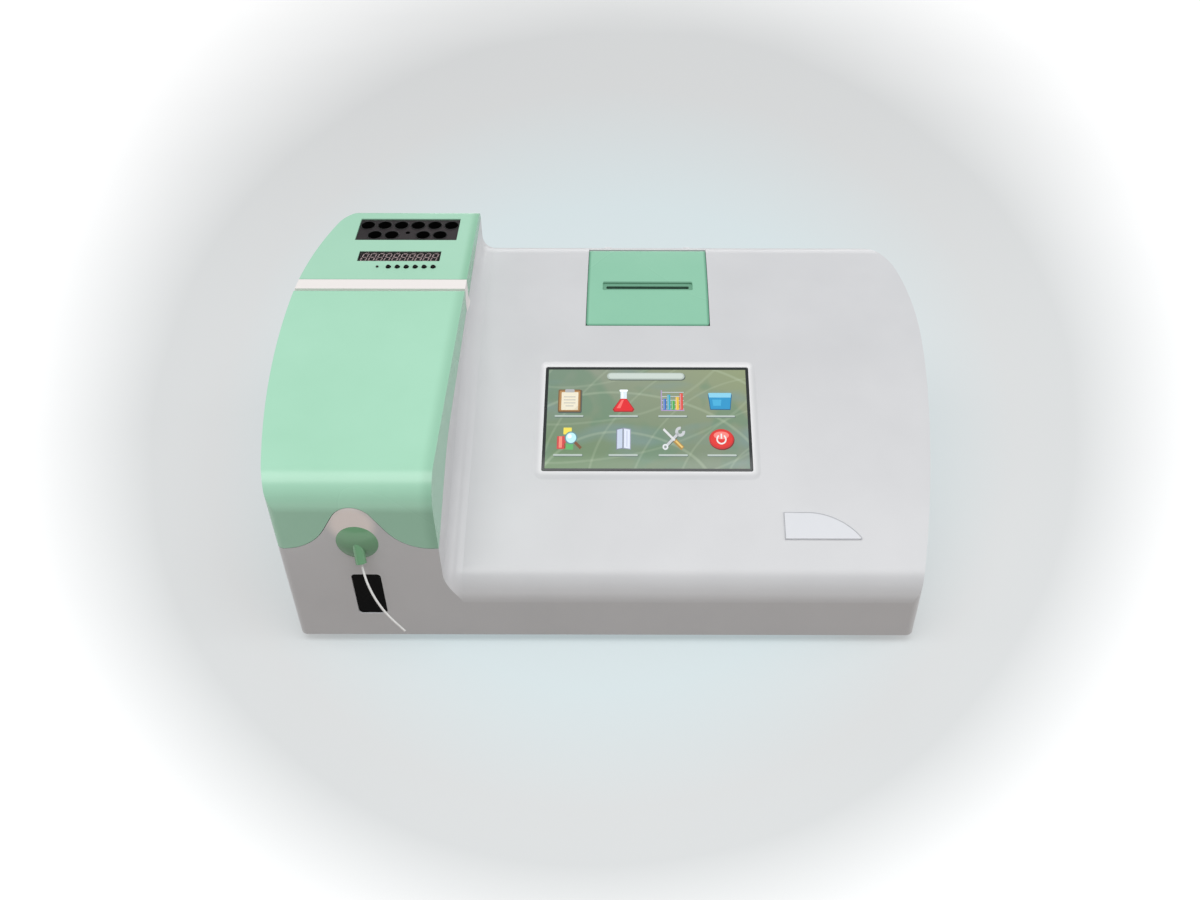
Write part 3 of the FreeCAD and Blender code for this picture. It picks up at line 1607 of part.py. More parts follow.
def make_nozzle():
    dome_radius = (v.nozzle_disc_radius**2 + v.nozzle_dome**2) / (2 * v.nozzle_dome)
    dome = Part.makeSphere(dome_radius, nozzle_at + Vector(0, dome_radius - v.nozzle_dome, 0))
    ahead = slab_between(v.front_y - dome_radius, v.front_y)
    barrel = Part.makeCylinder(
        v.nozzle_barrel_radius, v.nozzle_barrel_length, nozzle_at, Vector(0, 1, 0)
    )
    spout = Part.makeCylinder(v.spout_radius, v.spout_length, nozzle_at, spout_out)
    root = Part.makeSphere(v.spout_radius, nozzle_at)
    bore = Part.makeCylinder(
        v.sipper_tube_radius + v.running_gap,
        v.spout_bore_depth + v.overrun,
        spout_tip - spout_out * v.spout_bore_depth,
        spout_out,
    )
    return dome.fuse([spout, root]).common(ahead).fuse(barrel).cut(bore)


keep(shaped(make_nozzle()), "sipper_nozzle")

# Sipper tube: stiff plastic tube from the spout, its free end hanging before the key

bend_share = 0.45
SIPPER_ROUTE = [
    spout_tip - spout_out * v.spout_bore_depth,
    spout_tip + spout_out * v.spout_straight,
    Vector(-161.2, -177.0, 67.5),
    Vector(-155.0, -180.0, 54.8),
    Vector(-148.2, -181.3, 44.3),
    Vector(-141.9, -182.0, 35.9),
]


def tube_along(points, radius):
    """Straight runs joined by the largest arcs that the runs allow, as one solid."""
    edges = []
    start = points[0]
    for before, corner, after in zip(points, points[1:], points[2:]):
        back = before - corner
        ahead = after - corner
        shorter = min(back.Length, ahead.Length)
        half_turn = (math.pi - back.getAngle(ahead)) / 2
        reach = bend_share * shorter
        back.normalize()
        ahead.normalize()
        first = corner + back * reach
        last = corner + ahead * reach
        bend = reach / math.tan(half_turn)
        inward = back + ahead
        inward.normalize()
        centre = corner + inward * (bend / math.cos(half_turn))
        edges.append(Part.makeLine(start, first))
        edges.append(arc_about(centre, first, last))
        print(f"bend radius {bend:.1f} at a tube radius of {radius}")
        start = last
    edges.append(Part.makeLine(start, points[-1]))
    path = Part.Wire(edges)
    ring = Part.Wire([Part.Circle(points[0], points[1] - points[0], radius).toShape()])
    tube = path.makePipeShell([ring], True, True)
    print(f"tube volume {tube.Volume:.2f}, section times length {math.pi * radius**2 * path.Length:.2f}")
    print(f"tube length {path.Length:.1f}")
    return tube


keep(shaped(tube_along(SIPPER_ROUTE, v.sipper_tube_radius)), "sipper_tube")

# Peristaltic pump: motor under the bay floor, head above it, rotor with three rollers

pump_at = ("pump_x", "pump_y")
motor_body = rod(
    "pump_motor_radius",
    "pump_motor_length",
    pump_at + ("bay_floor_top - bay_floor_wall - pump_motor_length",),
)
motor_bore = rod(
    "pump_shaft_radius + running_gap",
    "pump_shaft_grip + moving_gap",
    pump_at + ("bay_floor_top - bay_floor_wall - pump_shaft_grip - moving_gap",),
)
keep(cut(motor_body, motor_bore), "pump_motor")

head_body = block("pump_head_side", "pump_head_side", "pump_head_height", pump_at + ("pump_base",))
cavity = rod("pump_cavity_radius", "pump_head_height", pump_at + ("pump_base + pump_floor",))
shaft_hole = rod(
    "pump_shaft_radius + running_gap", "2 * pump_floor", pump_at + ("pump_base - pump_floor / 2",)
)
tube_slots = [
    box(
        "2 * pump_tube_radius + 2 * moving_gap",
        "pump_head_side",
        "pump_head_height",
        (
            f"pump_x {sign} pump_tube_reach - pump_tube_radius - moving_gap",
            "pump_y",
            "pump_tube_height - pump_tube_radius - moving_gap",
        ),
    )
    for sign in ("-", "+")
]
keep(cut(head_body, cavity, shaft_hole, *tube_slots), "pump_head")

rotor_parts = [
    rod("pump_rotor_radius", "pump_rotor_height", pump_at + ("pump_rotor_floor",)),
    rod(
        "pump_rotor_radius",
        "pump_rotor_height / 2",
        pump_at + ("pump_rotor_floor + pump_rotor_height + pump_roller_height",),
    ),
    rod(
        "pump_rotor_radius / 3", "pump_rotor_height + pump_roller_height", pump_at + ("pump_rotor_floor",)
    ),
    rod(
        "pump_shaft_radius",
        "pump_rotor_floor - bay_floor_top + bay_floor_wall + pump_shaft_grip",
        pump_at + ("bay_floor_top - bay_floor_wall - pump_shaft_grip",),
    ),
]
for number in range(3):
    angle = f"({number} * 120 + 30) * 1 deg"
    rotor_parts.append(
        rod(
            "pump_roller_radius",
            "pump_roller_height",
            (
                f"pump_x + pump_roller_centre * cos({angle})",
                f"pump_y + pump_roller_centre * sin({angle})",
                "pump_rotor_floor + pump_rotor_height",
            ),
        )
    )
keep(fuse(*rotor_parts), "pump_rotor")


def make_pump_tube():
    """Loop of soft tube round the front of the rotor, with both legs to the rear."""
    reach = v.pump_tube_reach
    centre = Vector(v.pump_x, v.pump_y, v.pump_tube_height)
    leg = Vector(0, v.pump_head_side / 2 + v.pump_tube_leg, 0)
    left = centre - Vector(reach, 0, 0)
    right = centre + Vector(reach, 0, 0)
    path = Part.Wire(
        [
            Part.makeLine(left + leg, left),
            Part.Arc(left, centre - Vector(0, reach, 0), right).toShape(),
            Part.makeLine(right, right + leg),
        ]
    )
    ring = Part.Wire([Part.Circle(left + leg, Vector(0, -1, 0), v.pump_tube_radius).toShape()])
    return path.makePipeShell([ring], True, True)


keep(shaped(make_pump_tube()), "pump_tube")

# Optical bench: lamp, lens, filter wheel, flow cell and detector in one line along Y

bench = box("bench_width", "bench_length", "bench_wall", ("bench_left", "bench_front_y", "tray_top"))
keep(group(bench), "optical_bench")

lamp_case = block(
    "lamp_box_width", "lamp_box_length", "lamp_box_height", ("optic_x", "lamp_middle_y", "bench_top")
)
lamp_room = block(
    "lamp_box_width - 2 * lamp_box_wall",
    "lamp_box_length - 2 * lamp_box_wall",
    "lamp_box_height - 2 * lamp_box_wall",
    ("optic_x", "lamp_middle_y", "bench_top + lamp_box_wall"),
)
light_hole = rod(
    "lens_tube_bore",
    "4 * lamp_box_wall",
    ("optic_x", "lamp_box_y - 2 * lamp_box_wall", "optic_height"),
    ALONG_Y,
)
lamp_vents = [
    block(
        "lamp_box_width / 2",
        "lamp_box_wall",
        "4 * lamp_box_wall",
        (
            "optic_x",
            f"lamp_middle_y + {number} * 4 * lamp_box_wall",
            "bench_top + lamp_box_height - 2 * lamp_box_wall",
        ),
    )
    for number in (-1, 0, 1)
]
keep(cut(lamp_case, lamp_room, light_hole, *lamp_vents), "lamp_housing")
lamp_cap = rod(
    "lamp_cap_radius", "lamp_cap_height", ("optic_x", "lamp_middle_y", "bench_top + lamp_box_wall")
)
lamp_bulb = rod(
    "lamp_radius",
    "lamp_length",
    ("optic_x", "lamp_middle_y", "bench_top + lamp_box_wall + lamp_cap_height"),
)
keep(fuse(lamp_cap, lamp_bulb), "halogen_lamp")

lens_barrel = rod(
    "lens_tube_radius",
    "lens_tube_length",
    ("optic_x", "lamp_box_y - lens_tube_length", "optic_height"),
    ALONG_Y,
)
lens_post = block(
    "lens_tube_radius",
    "lens_tube_length / 2",
    "optic_height - bench_top",
    ("optic_x", "lamp_box_y - lens_tube_length / 2", "bench_top"),
)
lens_bore = rod(
    "lens_tube_bore",
    "lens_tube_length + 2 * bite",
    ("optic_x", "lamp_box_y - lens_tube_length - bite", "optic_height"),
    ALONG_Y,
)
lens_disc = rod(
    "lens_tube_bore",
    "lens_glass",
    ("optic_x", "lamp_box_y - lens_tube_length / 2", "optic_height"),
    ALONG_Y,
)
keep(fuse(cut(fuse(lens_barrel, lens_post), lens_bore), lens_disc), "lens_tube")


def origin_plane(body, role):
    return [item for item in body.Origin.OriginFeatures if item.Role == role][0]


def circle_sketch(body, name, radius, reach="0"):
    """Sketch of one circle, held by its radius and its distance from the middle."""
    sketch = body.newObject("Sketcher::SketchObject", name)
    sketch.AttachmentSupport = [(origin_plane(body, "XY_Plane"), "")]
    sketch.MapMode = "FlatFace"
    start = Vector(1, 0, 0) if reach != "0" else Vector()
    circle = sketch.addGeometry(Part.Circle(start, Vector(0, 0, 1), 1))
    sketch.addConstraint(Sketcher.Constraint("Radius", circle, 1))
    sketch.setExpression("Constraints[0]", cells(radius))
    if reach == "0":
        sketch.addConstraint(Sketcher.Constraint("Coincident", circle, 3, -1, 1))
    else:
        sketch.addConstraint(Sketcher.Constraint("DistanceX", -1, 1, circle, 3, 1))
        sketch.setExpression("Constraints[1]", cells(reach))
        sketch.addConstraint(Sketcher.Constraint("PointOnObject", circle, 3, -1))
    return sketch


def make_filter_wheel():
    """Wheel with its filters set into pockets, on a shaft that enters the motor."""
    body = doc.addObject("PartDesign::Body", "FilterWheel")
    disc = body.newObject("PartDesign::Pad", "Disc")
    disc.Profile = circle_sketch(body, "DiscOutline", "wheel_radius")
    disc.setExpression("Length", cells("wheel_thickness"))
    shaft = body.newObject("PartDesign::Pad", "Shaft")
    shaft.Profile = circle_sketch(body, "ShaftOutline", "wheel_shaft_radius")
    shaft.setExpression("Length", cells("wheel_thickness + wheel_shaft_length"))
    doc.recompute()
    before = body.Shape.Volume
    pocket = body.newObject("PartDesign::Pocket", "FilterPocket")
    pocket.Profile = circle_sketch(body, "FilterOutline", "filter_radius", "wheel_pitch_radius")
    pocket.setExpression("Length", cells("filter_pocket_depth"))
    pocket.Reversed = True
    pattern = body.newObject("PartDesign::PolarPattern", "FilterPockets")
    pattern.Originals = [pocket]
    pattern.Axis = (origin_plane(body, "Z_Axis"), [""])
    pattern.Angle = 360
    pattern.Occurrences = int(v.filter_count)
    body.Tip = pattern
    doc.recompute()
    cut_away = before - body.Shape.Volume
    print(f"filter pockets take {cut_away:.0f} cubic millimetres")
    return seated(body, Placement(Vector(v.wheel_x, v.wheel_y, v.optic_height), ALONG_Y))


keep(make_filter_wheel(), "filter_wheel")

motor_front = "wheel_y + wheel_thickness + wheel_shaft_length / 2"
wheel_motor = block(
    "wheel_motor_side",
    "wheel_motor_length",
    "wheel_motor_side",
    ("wheel_x", f"{motor_front} + wheel_motor_length / 2", "optic_height - wheel_motor_side / 2"),
)
wheel_stand = block(
    "wheel_motor_side / 2",
    "wheel_motor_length",
    "optic_height - bench_top",
    ("wheel_x", f"{motor_front} + wheel_motor_length / 2", "bench_top"),
)
wheel_bore = rod(
    "wheel_shaft_radius + running_gap",
    "wheel_shaft_length / 2 + overrun + moving_gap",
    ("wheel_x", f"{motor_front} - overrun", "optic_height"),
    ALONG_Y,
)
keep(cut(fuse(wheel_motor, wheel_stand), wheel_bore), "wheel_motor")

cell_body = block(
    "flow_cell_width",
    "flow_cell_length",
    "optic_height - bench_top + flow_cell_top",
    ("optic_x", "flow_cell_y + flow_cell_length / 2", "bench_top"),
)
light_channel = rod(
    "flow_channel_radius",
    "flow_cell_length + 2 * overrun",
    ("optic_x", "flow_cell_y - overrun", "optic_height"),
    ALONG_Y,
)
sample_channel = rod(
    "flow_channel_radius / 2",
    "flow_cell_top + overrun",
    ("optic_x", "flow_cell_y + flow_cell_length / 2", "optic_height"),
)
keep(cut(cell_body, light_channel, sample_channel), "flow_cell")

detector_can = rod(
    "detector_radius",
    "detector_length",
    ("optic_x", "flow_cell_y - detector_length", "optic_height"),
    ALONG_Y,
)
detector_board = block(
    "detector_board_side",
    "board_wall",
    "detector_board_side",
    (
        "optic_x",
        "flow_cell_y - detector_length - board_wall / 2",
        "optic_height - detector_board_side / 2",
    ),
)
keep(fuse(detector_can, detector_board), "photo_detector")

# Boards and power supply on stand-offs


def board_with_posts(left, front, width, length):
    """Circuit board on four posts that stand on the tray."""
    plate = box(width, length, "board_wall", (left, front, "board_bottom"))
    posts = []
    for x in (f"{left} + 2 * standoff_radius", f"{left} + {width} - 2 * standoff_radius"):
        for y in (f"{front} + 2 * standoff_radius", f"{front} + {length} - 2 * standoff_radius"):
            posts.append(rod("standoff_radius", "standoff_height", (x, y, "tray_top")))
    return [plate] + posts


supply_parts = board_with_posts("supply_x", "supply_y", "supply_width", "supply_length")
on_board = "board_bottom + board_wall"
supply_parts.append(
    block(
        "supply_width / 2",
        "supply_length / 3",
        "coil_height",
        ("supply_x + supply_width / 3", "supply_y + supply_length / 2", on_board),
    )
)
for number in (1, 2):
    supply_parts.append(
        rod(
            "capacitor_radius",
            "capacitor_height",
            ("supply_x + supply_width * 3 / 4", f"supply_y + supply_length * {number} / 3", on_board),
        )
    )
supply_parts.append(
    block(
        "supply_width * 2 / 3",
        "bench_wall",
        "capacitor_height",
        ("supply_x + supply_width / 2", "supply_y + supply_length * 7 / 8", on_board),
    )
)
keep(fuse(*supply_parts), "power_supply")

board_parts = board_with_posts("main_board_x", "main_board_y", "main_board_width", "main_board_length")
for column, row in ((1, 1), (2, 1), (1, 2), (3, 2)):
    board_parts.append(
        block(
            "chip_side",
            "chip_side",
            "chip_height",
            (
                f"main_board_x + main_board_width * {column} / 4",
                f"main_board_y + main_board_length * {row} / 3",
                on_board,
            ),
        )
    )
board_parts.append(
    block(
        "header_length",
        "header_width",
        "header_height",
        (
            "main_board_x + main_board_width / 2",
            "main_board_y + main_board_length - 2 * header_width",
            on_board,
        ),
    )
)
keep(fuse(*board_parts), "main_board")

# Rear plate and what is mounted in it


def upright(width, height, depth, x, y, z, radius):
    """Rounded block centred in X and Z on a place, running back from y."""
    left = x - width / 2
    right = x + width / 2
    low = z - height / 2
    high = z + height / 2
    corners = [Vector(left, y, low), Vector(right, y, low), Vector(right, y, high), Vector(left, y, high)]
    return rounded_face(corners, radius).extrude(Vector(0, depth, 0))


plate_z = v.plate_middle_height
housing_width = v.rocker_width + 2 * v.rocker_frame
housing_height = v.rocker_height + 2 * v.rocker_frame
serial_hole_width = v.serial_width * 3 / 5
serial_hole_height = v.serial_height * 3 / 4


def make_rear_plate():
    plate = upright(
        v.rear_plate_width,
        v.rear_plate_height,
        v.rear_plate_wall,
        v.rear_plate_x,
        v.plate_inner_y,
        plate_z,
        v.rear_plate_wall,
    )
    y = v.plate_inner_y - v.overrun
    deep = 3 * v.overrun
    gap = 2 * v.running_gap
    tools = [
        upright(
            v.inlet_width + gap, v.inlet_height + gap, deep, v.inlet_x, y, plate_z, v.rear_plate_wall
        ),
        upright(
            housing_width + gap, housing_height + gap, deep, v.rocker_x, y, plate_z, v.rear_plate_wall
        ),
        upright(
            serial_hole_width + gap,
            serial_hole_height + gap,
            deep,
            v.serial_x,
            y,
            plate_z,
            v.rear_plate_wall,
        ),
        upright(v.usb_width + gap, v.usb_height + gap, deep, v.usb_x, y, plate_z, v.port_wall / 2),
    ]
    for number in range(int(v.grille_count)):
        offset = (number - (v.grille_count - 1) / 2) * v.grille_pitch
        reach = math.sqrt((v.fan_bore_radius - v.grille_slot / 2) ** 2 - offset**2)
        slot_radius = v.grille_slot / 3
        tools.append(upright(v.grille_slot, 2 * reach, deep, v.fan_x + offset, y, plate_z, slot_radius))
    return plate.cut(tools)


keep(shaped(make_rear_plate()), "rear_plate")


def make_mains_inlet():
    """Three-pin appliance inlet: flange, body, socket and its blades."""
    flange = upright(
        v.inlet_width + 2 * v.inlet_flange,
        v.inlet_height + 2 * v.inlet_flange,
        v.rear_plate_wall,
        v.inlet_x,
        v.plate_outer_y,
        plate_z,
        v.inlet_corner,
    )
    mouth_y = v.plate_outer_y + v.rear_plate_wall
    body = upright(
        v.inlet_width,
        v.inlet_height,
        v.inlet_depth,
        v.inlet_x,
        mouth_y - v.inlet_depth,
        plate_z,
        v.rear_plate_wall,
    )
    room = upright(
        v.inlet_socket_width,
        v.inlet_socket_height,
        v.inlet_socket_depth + v.overrun,
        v.inlet_x,
        mouth_y - v.inlet_socket_depth,
        plate_z,
        v.inlet_corner / 2,
    )
    inlet = flange.fuse(body).cut(room)
    blades = []
    for column, lift in ((-1, 0), (0, v.blade_height), (1, 0)):
        blades.append(
            Part.makeBox(
                v.blade_width,
                v.inlet_socket_depth - v.blade_width,
                v.blade_height,
                Vector(
                    v.inlet_x + column * v.blade_spacing - v.blade_width / 2,
                    mouth_y - v.inlet_socket_depth,
                    plate_z - v.blade_height / 2 + lift,
                ),
            )
        )
    return inlet.fuse(blades)


keep(shaped(make_mains_inlet()), "mains_inlet")


def make_switch_housing():
    flange = upright(
        housing_width + 2 * v.rocker_frame,
        housing_height + 2 * v.rocker_frame,
        v.rear_plate_wall,
        v.rocker_x,
        v.plate_outer_y,
        plate_z,
        v.rocker_frame,
    )
    mouth_y = v.plate_outer_y + v.rear_plate_wall
    body = upright(
        housing_width,
        housing_height,
        v.rocker_depth,
        v.rocker_x,
        mouth_y - v.rocker_depth,
        plate_z,
        v.rear_plate_wall,
    )
    room = upright(
        v.rocker_width + 2 * v.moving_gap,
        v.rocker_height + v.rocker_frame,
        v.rocker_depth,
        v.rocker_x,
        mouth_y - v.rocker_depth + v.rocker_frame,
        plate_z,
        v.moving_gap,
    )
    pivot = Part.makeCylinder(
        v.rocker_pivot_radius + v.running_gap,
        housing_width - v.rocker_frame,
        Vector(v.rocker_x - (housing_width - v.rocker_frame) / 2, v.rocker_pivot_y, plate_z),
        Vector(1, 0, 0),
    )
    return flange.fuse(body).cut([room, pivot])


keep(shaped(make_switch_housing()), "switch_housing")


def make_rocker():
    """Two-sided rocker, resting tipped to its off side."""
    half = v.rocker_height / 2
    nose = v.rocker_height / 4
    left = v.rocker_x - v.rocker_width / 2
    points = [
        Vector(left, v.rocker_pivot_y + nose * 2 / 3, plate_z - half),
        Vector(left, v.rocker_pivot_y + nose, plate_z),
        Vector(left, v.rocker_pivot_y + nose * 2 / 3, plate_z + half),
        Vector(left, v.rocker_pivot_y - nose / 2, plate_z + half / 2),
        Vector(left, v.rocker_pivot_y - nose / 2, plate_z - half / 2),
    ]
    rocker = rounded_face(points, v.port_wall).extrude(Vector(v.rocker_width, 0, 0))
    pin_length = housing_width - v.rocker_frame - 2 * v.moving_gap
    pins = Part.makeCylinder(
        v.rocker_pivot_radius,
        pin_length,
        Vector(v.rocker_x - pin_length / 2, v.rocker_pivot_y, plate_z),
        Vector(1, 0, 0),
    )
    rocker = rocker.fuse(pins)
    rocker.rotate(Vector(v.rocker_x, v.rocker_pivot_y, plate_z), Vector(1, 0, 0), -v.rocker_throw / 2)
    return rocker


keep(shaped(make_rocker()), "power_rocker")

# Cooling fan behind the plate's slots

fan_front_y = v.plate_inner_y - v.fan_depth


def make_fan_frame():
    frame = upright(v.fan_side, v.fan_side, v.fan_depth, v.fan_x, fan_front_y, plate_z, v.fan_strut)
    centre = Vector(v.fan_x, fan_front_y, plate_z)
    along = Vector(0, 1, 0)
    frame = frame.cut(
        Part.makeCylinder(v.fan_bore_radius, 2 * v.fan_depth, centre - along * v.overrun, along)
    )
    hub = Part.makeCylinder(v.fan_hub_radius, v.fan_hub_plate, centre, along)
    arms = []
    for number in range(2):
        arm = Part.makeBox(
            2 * v.fan_bore_radius + v.fan_strut / 2,
            v.fan_hub_plate,
            v.fan_strut,
            Vector(v.fan_x - v.fan_bore_radius - v.fan_strut / 4, fan_front_y, plate_z - v.fan_strut / 2),
        )
        arm.rotate(centre, along, 90 * number)
        arms.append(arm)
    bore = Part.makeCylinder(
        v.fan_shaft_radius + v.running_gap, v.fan_depth, centre - along * v.overrun, along
    )
    return frame.fuse([hub] + arms).cut(bore)


keep(shaped(make_fan_frame()), "fan_frame")


def make_fan_rotor():
    along = Vector(0, 1, 0)
    centre = Vector(v.fan_x, fan_front_y, plate_z)
    hub_start = v.fan_hub_plate + v.moving_gap
    hub_length = v.fan_depth - hub_start - v.fan_hub_plate
    hub = Part.makeCylinder(v.fan_hub_radius, hub_length, centre + along * hub_start, along)
    shaft = Part.makeCylinder(v.fan_shaft_radius, hub_start + v.moving_gap, centre, along)
    blades = []
    tip_gap = v.seam_gap + v.moving_gap
    length = v.fan_bore_radius - tip_gap - v.fan_hub_radius * 3 / 4
    chord = hub_length / math.cos(math.radians(v.fan_blade_pitch)) * 3 / 4
    middle = centre + along * (hub_start + hub_length / 2)
    for number in range(int(v.fan_blade_count)):
        blade = Part.makeBox(
            length,
            chord,
            v.fan_blade_wall,
            middle + Vector(v.fan_hub_radius * 3 / 4, -chord / 2, -v.fan_blade_wall / 2),
        )
        blade.rotate(middle, Vector(1, 0, 0), v.fan_blade_pitch)
        blade.rotate(middle, along, number * 360 / v.fan_blade_count)
        blades.append(blade)
    rim = Part.makeCylinder(v.fan_bore_radius - tip_gap, v.fan_depth, centre, along)
    return hub.fuse(blades).common(rim).fuse(shaft)


keep(shaped(make_fan_rotor()), "fan_rotor")


def make_serial_port():
    """Nine-pin style serial socket: flange, shell and an empty mouth."""
    flange = upright(
        v.serial_width, v.serial_height, v.port_wall, v.serial_x, v.plate_outer_y, plate_z, v.port_wall
    )
    body = upright(
        serial_hole_width,
        serial_hole_height,
        v.serial_depth + v.port_proud,
        v.serial_x,
        v.plate_outer_y - v.serial_depth,
        plate_z,
        2 * v.port_wall,
    )
    room = upright(
        serial_hole_width - 2 * v.port_wall,
        serial_hole_height - 2 * v.port_wall,
        v.serial_depth,
        v.serial_x,
        v.plate_outer_y + v.port_wall - v.port_proud,
        plate_z,
        v.port_wall,
    )
    return flange.fuse(body).cut(room)


keep(shaped(make_serial_port()), "serial_port")


def make_usb_port():
    body = upright(
        v.usb_width,
        v.usb_height,
        v.usb_depth,
        v.usb_x,
        v.plate_outer_y + v.port_wall - v.usb_depth,
        plate_z,
        v.port_wall / 2,
    )
    room = upright(
        v.usb_width - 2 * v.port_wall,
        v.usb_height - 2 * v.port_wall,
        v.usb_depth,
        v.usb_x,
        v.plate_outer_y - v.usb_depth / 2,
        plate_z,
        v.port_wall / 4,
    )
    tongue = Part.makeBox(
        v.usb_width - 4 * v.port_wall,
        v.usb_depth / 2,
        2 * v.port_wall,
        Vector(
            v.usb_x - v.usb_width / 2 + 2 * v.port_wall,
            v.plate_outer_y - v.usb_depth / 2,
            plate_z,
        ),
    )
    return body.cut(room).fuse(tongue)


keep(shaped(make_usb_port()), "usb_port")


def make_waste_outlet():
    """Hose spigot for the waste, with a flange on the case's back wall."""
    along = Vector(0, 1, 0)
    inner = Vector(v.waste_x, v.back_y - v.waste_flange, v.waste_height)
    pipe = Part.makeCylinder(v.waste_radius, v.waste_flange + v.waste_reach, inner, along)
    flange = Part.makeCylinder(
        v.waste_flange, v.rear_plate_wall, Vector(v.waste_x, v.back_y, v.waste_height), along
    )
    bore = Part.makeCylinder(
        v.waste_bore, 2 * (v.waste_flange + v.waste_reach), inner - along * v.overrun, along
    )
    return pipe.fuse(flange).cut(bore)


keep(shaped(make_waste_outlet()), "waste_outlet")

# Nothing is written until every object of the document has passed

doc.recompute()
failed = [item.Name for item in doc.Objects if "Invalid" in item.State or "Error" in item.State]
for piece in pieces:
    if piece.Shape.isNull() or not piece.Shape.isValid() or piece.Shape.Volume <= 0:
        failed.append(piece.Label)
if failed:
    raise SystemExit(f"not valid: {failed}")
for piece in pieces:
    piece.Shape.exportStep(f"parts/{piece.Label}.step")
print(f"{len(pieces)} pieces written")
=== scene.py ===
from math import atan2, copysign, cos, hypot, pi, radians, sin

import bmesh
import bpy
from mathutils import Matrix, Vector


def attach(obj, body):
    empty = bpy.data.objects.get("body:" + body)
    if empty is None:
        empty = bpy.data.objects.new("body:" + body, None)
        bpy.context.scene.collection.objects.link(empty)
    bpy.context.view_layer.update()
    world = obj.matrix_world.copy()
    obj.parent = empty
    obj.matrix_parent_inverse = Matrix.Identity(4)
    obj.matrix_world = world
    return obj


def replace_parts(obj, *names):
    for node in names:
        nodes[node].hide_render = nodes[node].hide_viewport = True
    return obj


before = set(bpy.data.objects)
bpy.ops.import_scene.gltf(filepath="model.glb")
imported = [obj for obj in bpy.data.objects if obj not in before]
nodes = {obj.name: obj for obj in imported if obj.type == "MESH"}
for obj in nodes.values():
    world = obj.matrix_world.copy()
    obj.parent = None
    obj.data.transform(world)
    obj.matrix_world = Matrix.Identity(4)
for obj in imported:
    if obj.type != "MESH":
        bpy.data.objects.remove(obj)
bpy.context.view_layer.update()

# Camera: in front of the bench and well above it, looking down on the whole
# instrument, a little to the right of its middle.
PICTURE_WIDTH = 1200
FOCAL_PIXELS = 1070.3
SHIFT_PIXELS = (-37.67, -0.95)
CAMERA_PLACE = (0.0224, -0.6964, 0.6059)
CAMERA_DOWN = radians(38.267)
CAMERA_ROLL = radians(0.119)


def new_object(name, data):
    """Object that is linked into the scene."""
    thing = bpy.data.objects.new(name, data)
    bpy.context.scene.collection.objects.link(thing)
    return thing


camera_data = bpy.data.cameras.new("Camera")
camera_data.sensor_width = 36
camera_data.lens = camera_data.sensor_width * FOCAL_PIXELS / PICTURE_WIDTH
camera_data.shift_x, camera_data.shift_y = (pixels / PICTURE_WIDTH for pixels in SHIFT_PIXELS)
camera = new_object("Camera", camera_data)
camera.matrix_world = (
    Matrix.Translation(CAMERA_PLACE)
    @ Matrix.Rotation(pi / 2 - CAMERA_DOWN, 4, "X")
    @ Matrix.Rotation(CAMERA_ROLL, 4, "Z")
)
bpy.context.scene.camera = camera

# Sipper tube: stiff fluoroplastic capillary, pushed into the spout and left to
# hang in front of the key with a free, square-cut end.
SIPPER_ROUTE = [
    (-0.16851, -0.16428, 0.09281),
    (-0.16635, -0.17094, 0.08068),
    (-0.1612, -0.177, 0.0675),
    (-0.155, -0.18, 0.0548),
    (-0.1482, -0.1813, 0.0443),
    (-0.1419, -0.182, 0.0359),
]
SIPPER_DIAMETER = 0.0016


def new_material(name, roughness=0.5, metallic=0.0, specular=0.5, fixed=None):
    """Material and its shader, whose fixed values are set on the shader itself."""
    material = bpy.data.materials.new(name)
    material.use_nodes = True
    shader = material.node_tree.nodes["Principled BSDF"]
    own = {"Roughness": roughness, "Metallic": metallic, "Specular IOR Level": specular}
    for label, value in {**own, **(fixed or {})}.items():
        shader.inputs[label].default_value = value
    return material, shader


def add_node(near, kind, values=None, **settings):
    """Outputs of a new node beside another; an input takes a value, an output or a list of outputs."""
    node = near.id_data.nodes.new(kind)
    for key, value in settings.items():
        setattr(node, key, value)
    for key, value in (values or {}).items():
        for part in value if isinstance(value, list) else [value]:
            if isinstance(part, bpy.types.NodeSocket):
                node.id_data.links.new(part, node.inputs[key])
            else:
                colour = node.inputs[key].type == "RGBA"
                node.inputs[key].default_value = (*part, 1) if colour else part
    return node.outputs


def feed(node, label, value):
    node.id_data.links.new(value, node.inputs[label])


def worked(operation, *values):
    """Number worked out of one, two or three others, of which the first is an output."""
    return add_node(values[0], "ShaderNodeMath", dict(enumerate(values)), operation=operation)[0]


def ranged(value, low=0.0, high=1.0, to_low=0.0, to_high=1.0, smooth=False):
    """Number carried from one range to another, and held at the ends."""
    ends = {"Value": value, "From Min": low, "From Max": high, "To Min": to_low, "To Max": to_high}
    kind = "SMOOTHSTEP" if smooth else "LINEAR"
    return add_node(value, "ShaderNodeMapRange", ends, interpolation_type=kind)[0]


def object_place(near):
    return add_node(near, "ShaderNodeTexCoord")["Object"]


def noise(where, scale, detail=2.0, roughness=0.5, distortion=0.0):
    values = {"Vector": where, "Scale": scale, "Detail": detail, "Roughness": roughness}
    return add_node(where, "ShaderNodeTexNoise", {**values, "Distortion": distortion})["Fac"]


def new_group(name, inputs, outputs, kind="Shader"):
    """Group of nodes, whose ports are numbers with a default or, where that is None, geometry."""
    group = bpy.data.node_groups.new(name, kind + "NodeTree")
    for side, ports in (("INPUT", inputs), ("OUTPUT", outputs)):
        for label, value in ports.items():
            carried = "NodeSocketGeometry" if value is None else "NodeSocketFloat"
            socket = group.interface.new_socket(label, in_out=side, socket_type=carried)
            if value is not None:
                socket.default_value = value
    return group, group.nodes.new("NodeGroupInput").outputs, group.nodes.new("NodeGroupOutput")


